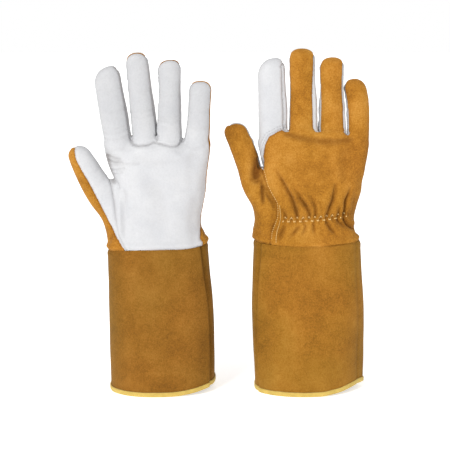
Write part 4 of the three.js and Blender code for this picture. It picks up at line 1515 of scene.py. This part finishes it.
def twisted_thread(name, dark, light):
    n = Nodes(name, 0.7)
    twist = n.add("ShaderNodeTexWave", {"Vector": n.spot, "Scale": 900.0, "Distortion": 0.5},
                  bands_direction="DIAGONAL").outputs["Fac"]
    colour = n.ramp(twist, [(0.1, dark), (0.8, light)])
    return n.finish(colour, n.bump(twist, 0.0002, 0.6))


def make_materials():
    hand = ((0.24, 0.088, 0.009), (0.405, 0.163, 0.018), (0.56, 0.262, 0.050))
    right = ((0.20, 0.080, 0.008), (0.335, 0.137, 0.015), (0.45, 0.205, 0.035))
    left = ((0.155, 0.063, 0.0075), (0.254, 0.104, 0.0122), (0.358, 0.160, 0.028))
    return {
        "suede": suede("tan_suede_hand", *hand, (0.92, 0.97, 0.85), 0.44),
        "right_cuff": suede("tan_suede_cuff_right", *right, (0.84, 0.92, 0.82)),
        "left_cuff": suede("tan_suede_cuff_left", *left, (0.88, 0.95, 0.90)),
        "grain": grain_leather(),
        "binding": woven("yellow_binding_tape", (0.49, 0.335, 0.060), (0.665, 0.485, 0.115), 420),
        "elastic": woven("elastic_tape", (0.42, 0.41, 0.37), (0.62, 0.60, 0.54), 300),
        "thread": twisted_thread("cream_thread", (0.66, 0.42, 0.13), (0.88, 0.62, 0.26)),
        "white_thread": twisted_thread("white_thread", (0.40, 0.40, 0.41), (0.58, 0.58, 0.60)),
    }


# ---------------------------------------------------------------- studio
CAMERA_DISTANCE = 1.25
CAMERA_HEIGHT = 9.0  # degrees above the horizon
VIEW_WIDTH = 0.4793  # what the frame holds across at the gloves' distance
AIM = Vector((0.0069, 0.0, 0.1775))
AMBIENT = 0.58
# name, the way it shines, its width in degrees and its strength
SUNS = [("key", (0.62, 1.0, -0.78), 18, 1.95), ("fill", (-0.9, 0.9, -0.35), 60, 0.35)]


def make_studio():
    scene = bpy.context.scene
    camera = bpy.data.cameras.new("camera")
    camera.sensor_width = 36
    camera.lens = 18 / (VIEW_WIDTH / 2 / CAMERA_DISTANCE)
    holder = bpy.data.objects.new("camera", camera)
    scene.collection.objects.link(holder)
    rise = math.radians(CAMERA_HEIGHT)
    holder.location = AIM + CAMERA_DISTANCE * Vector((0, -math.cos(rise), math.sin(rise)))
    holder.rotation_euler = (AIM - holder.location).to_track_quat("-Z", "Y").to_euler()
    scene.camera = holder

    floor_points = np.array([[-30, -30, 0], [30, -30, 0], [30, 30, 0], [-30, 30, 0]], float)
    floor = new_object("floor", floor_points, [[0, 1, 2, 3]])
    paint = bpy.data.materials.new("floor_paint")
    paint.use_nodes = True
    settings = {"Base Color": (0.95, 0.95, 0.95, 1), "Roughness": 0.9, "Emission Color": (1, 1, 1, 1),
                "Emission Strength": 0.56}
    for key, value in settings.items():
        paint.node_tree.nodes["Principled BSDF"].inputs[key].default_value = value
    floor.data.materials.append(paint)

    world = bpy.data.worlds.new("world")
    world.use_nodes = True
    tree = world.node_tree
    sky = tree.nodes["Background"]
    sky.inputs["Strength"].default_value = AMBIENT
    backdrop = tree.nodes.new("ShaderNodeBackground")
    for node in (sky, backdrop):
        node.inputs["Color"].default_value = (1, 1, 1, 1)
    ray, mix = tree.nodes.new("ShaderNodeLightPath"), tree.nodes.new("ShaderNodeMixShader")
    tree.links.new(ray.outputs["Is Camera Ray"], mix.inputs[0])
    tree.links.new(sky.outputs[0], mix.inputs[1])
    tree.links.new(backdrop.outputs[0], mix.inputs[2])
    tree.links.new(mix.outputs[0], tree.nodes["World Output"].inputs["Surface"])
    scene.world = world
    for name, way, angle, power in SUNS:
        lamp = bpy.data.lights.new(name, "SUN")
        lamp.angle = math.radians(angle)
        lamp.energy = power
        light = bpy.data.objects.new(name, lamp)
        light.rotation_euler = Vector(way).to_track_quat("-Z", "Y").to_euler()
        scene.collection.objects.link(light)
    scene.view_settings.view_transform = "Standard"


# ---------------------------------------------------------------- the pair
def make_glove(hand, materials):
    glove = Glove(hand)
    points, triangles = make_hand(glove, materials)
    make_cuff(glove, materials)
    make_binding(glove, materials)
    tree = surface_tree(points, triangles)
    make_thread(glove, tree, materials)
    make_elastic(glove, tree, materials)


make_studio()
looks = make_materials()
for hand in GLOVES:
    make_glove(hand, looks)
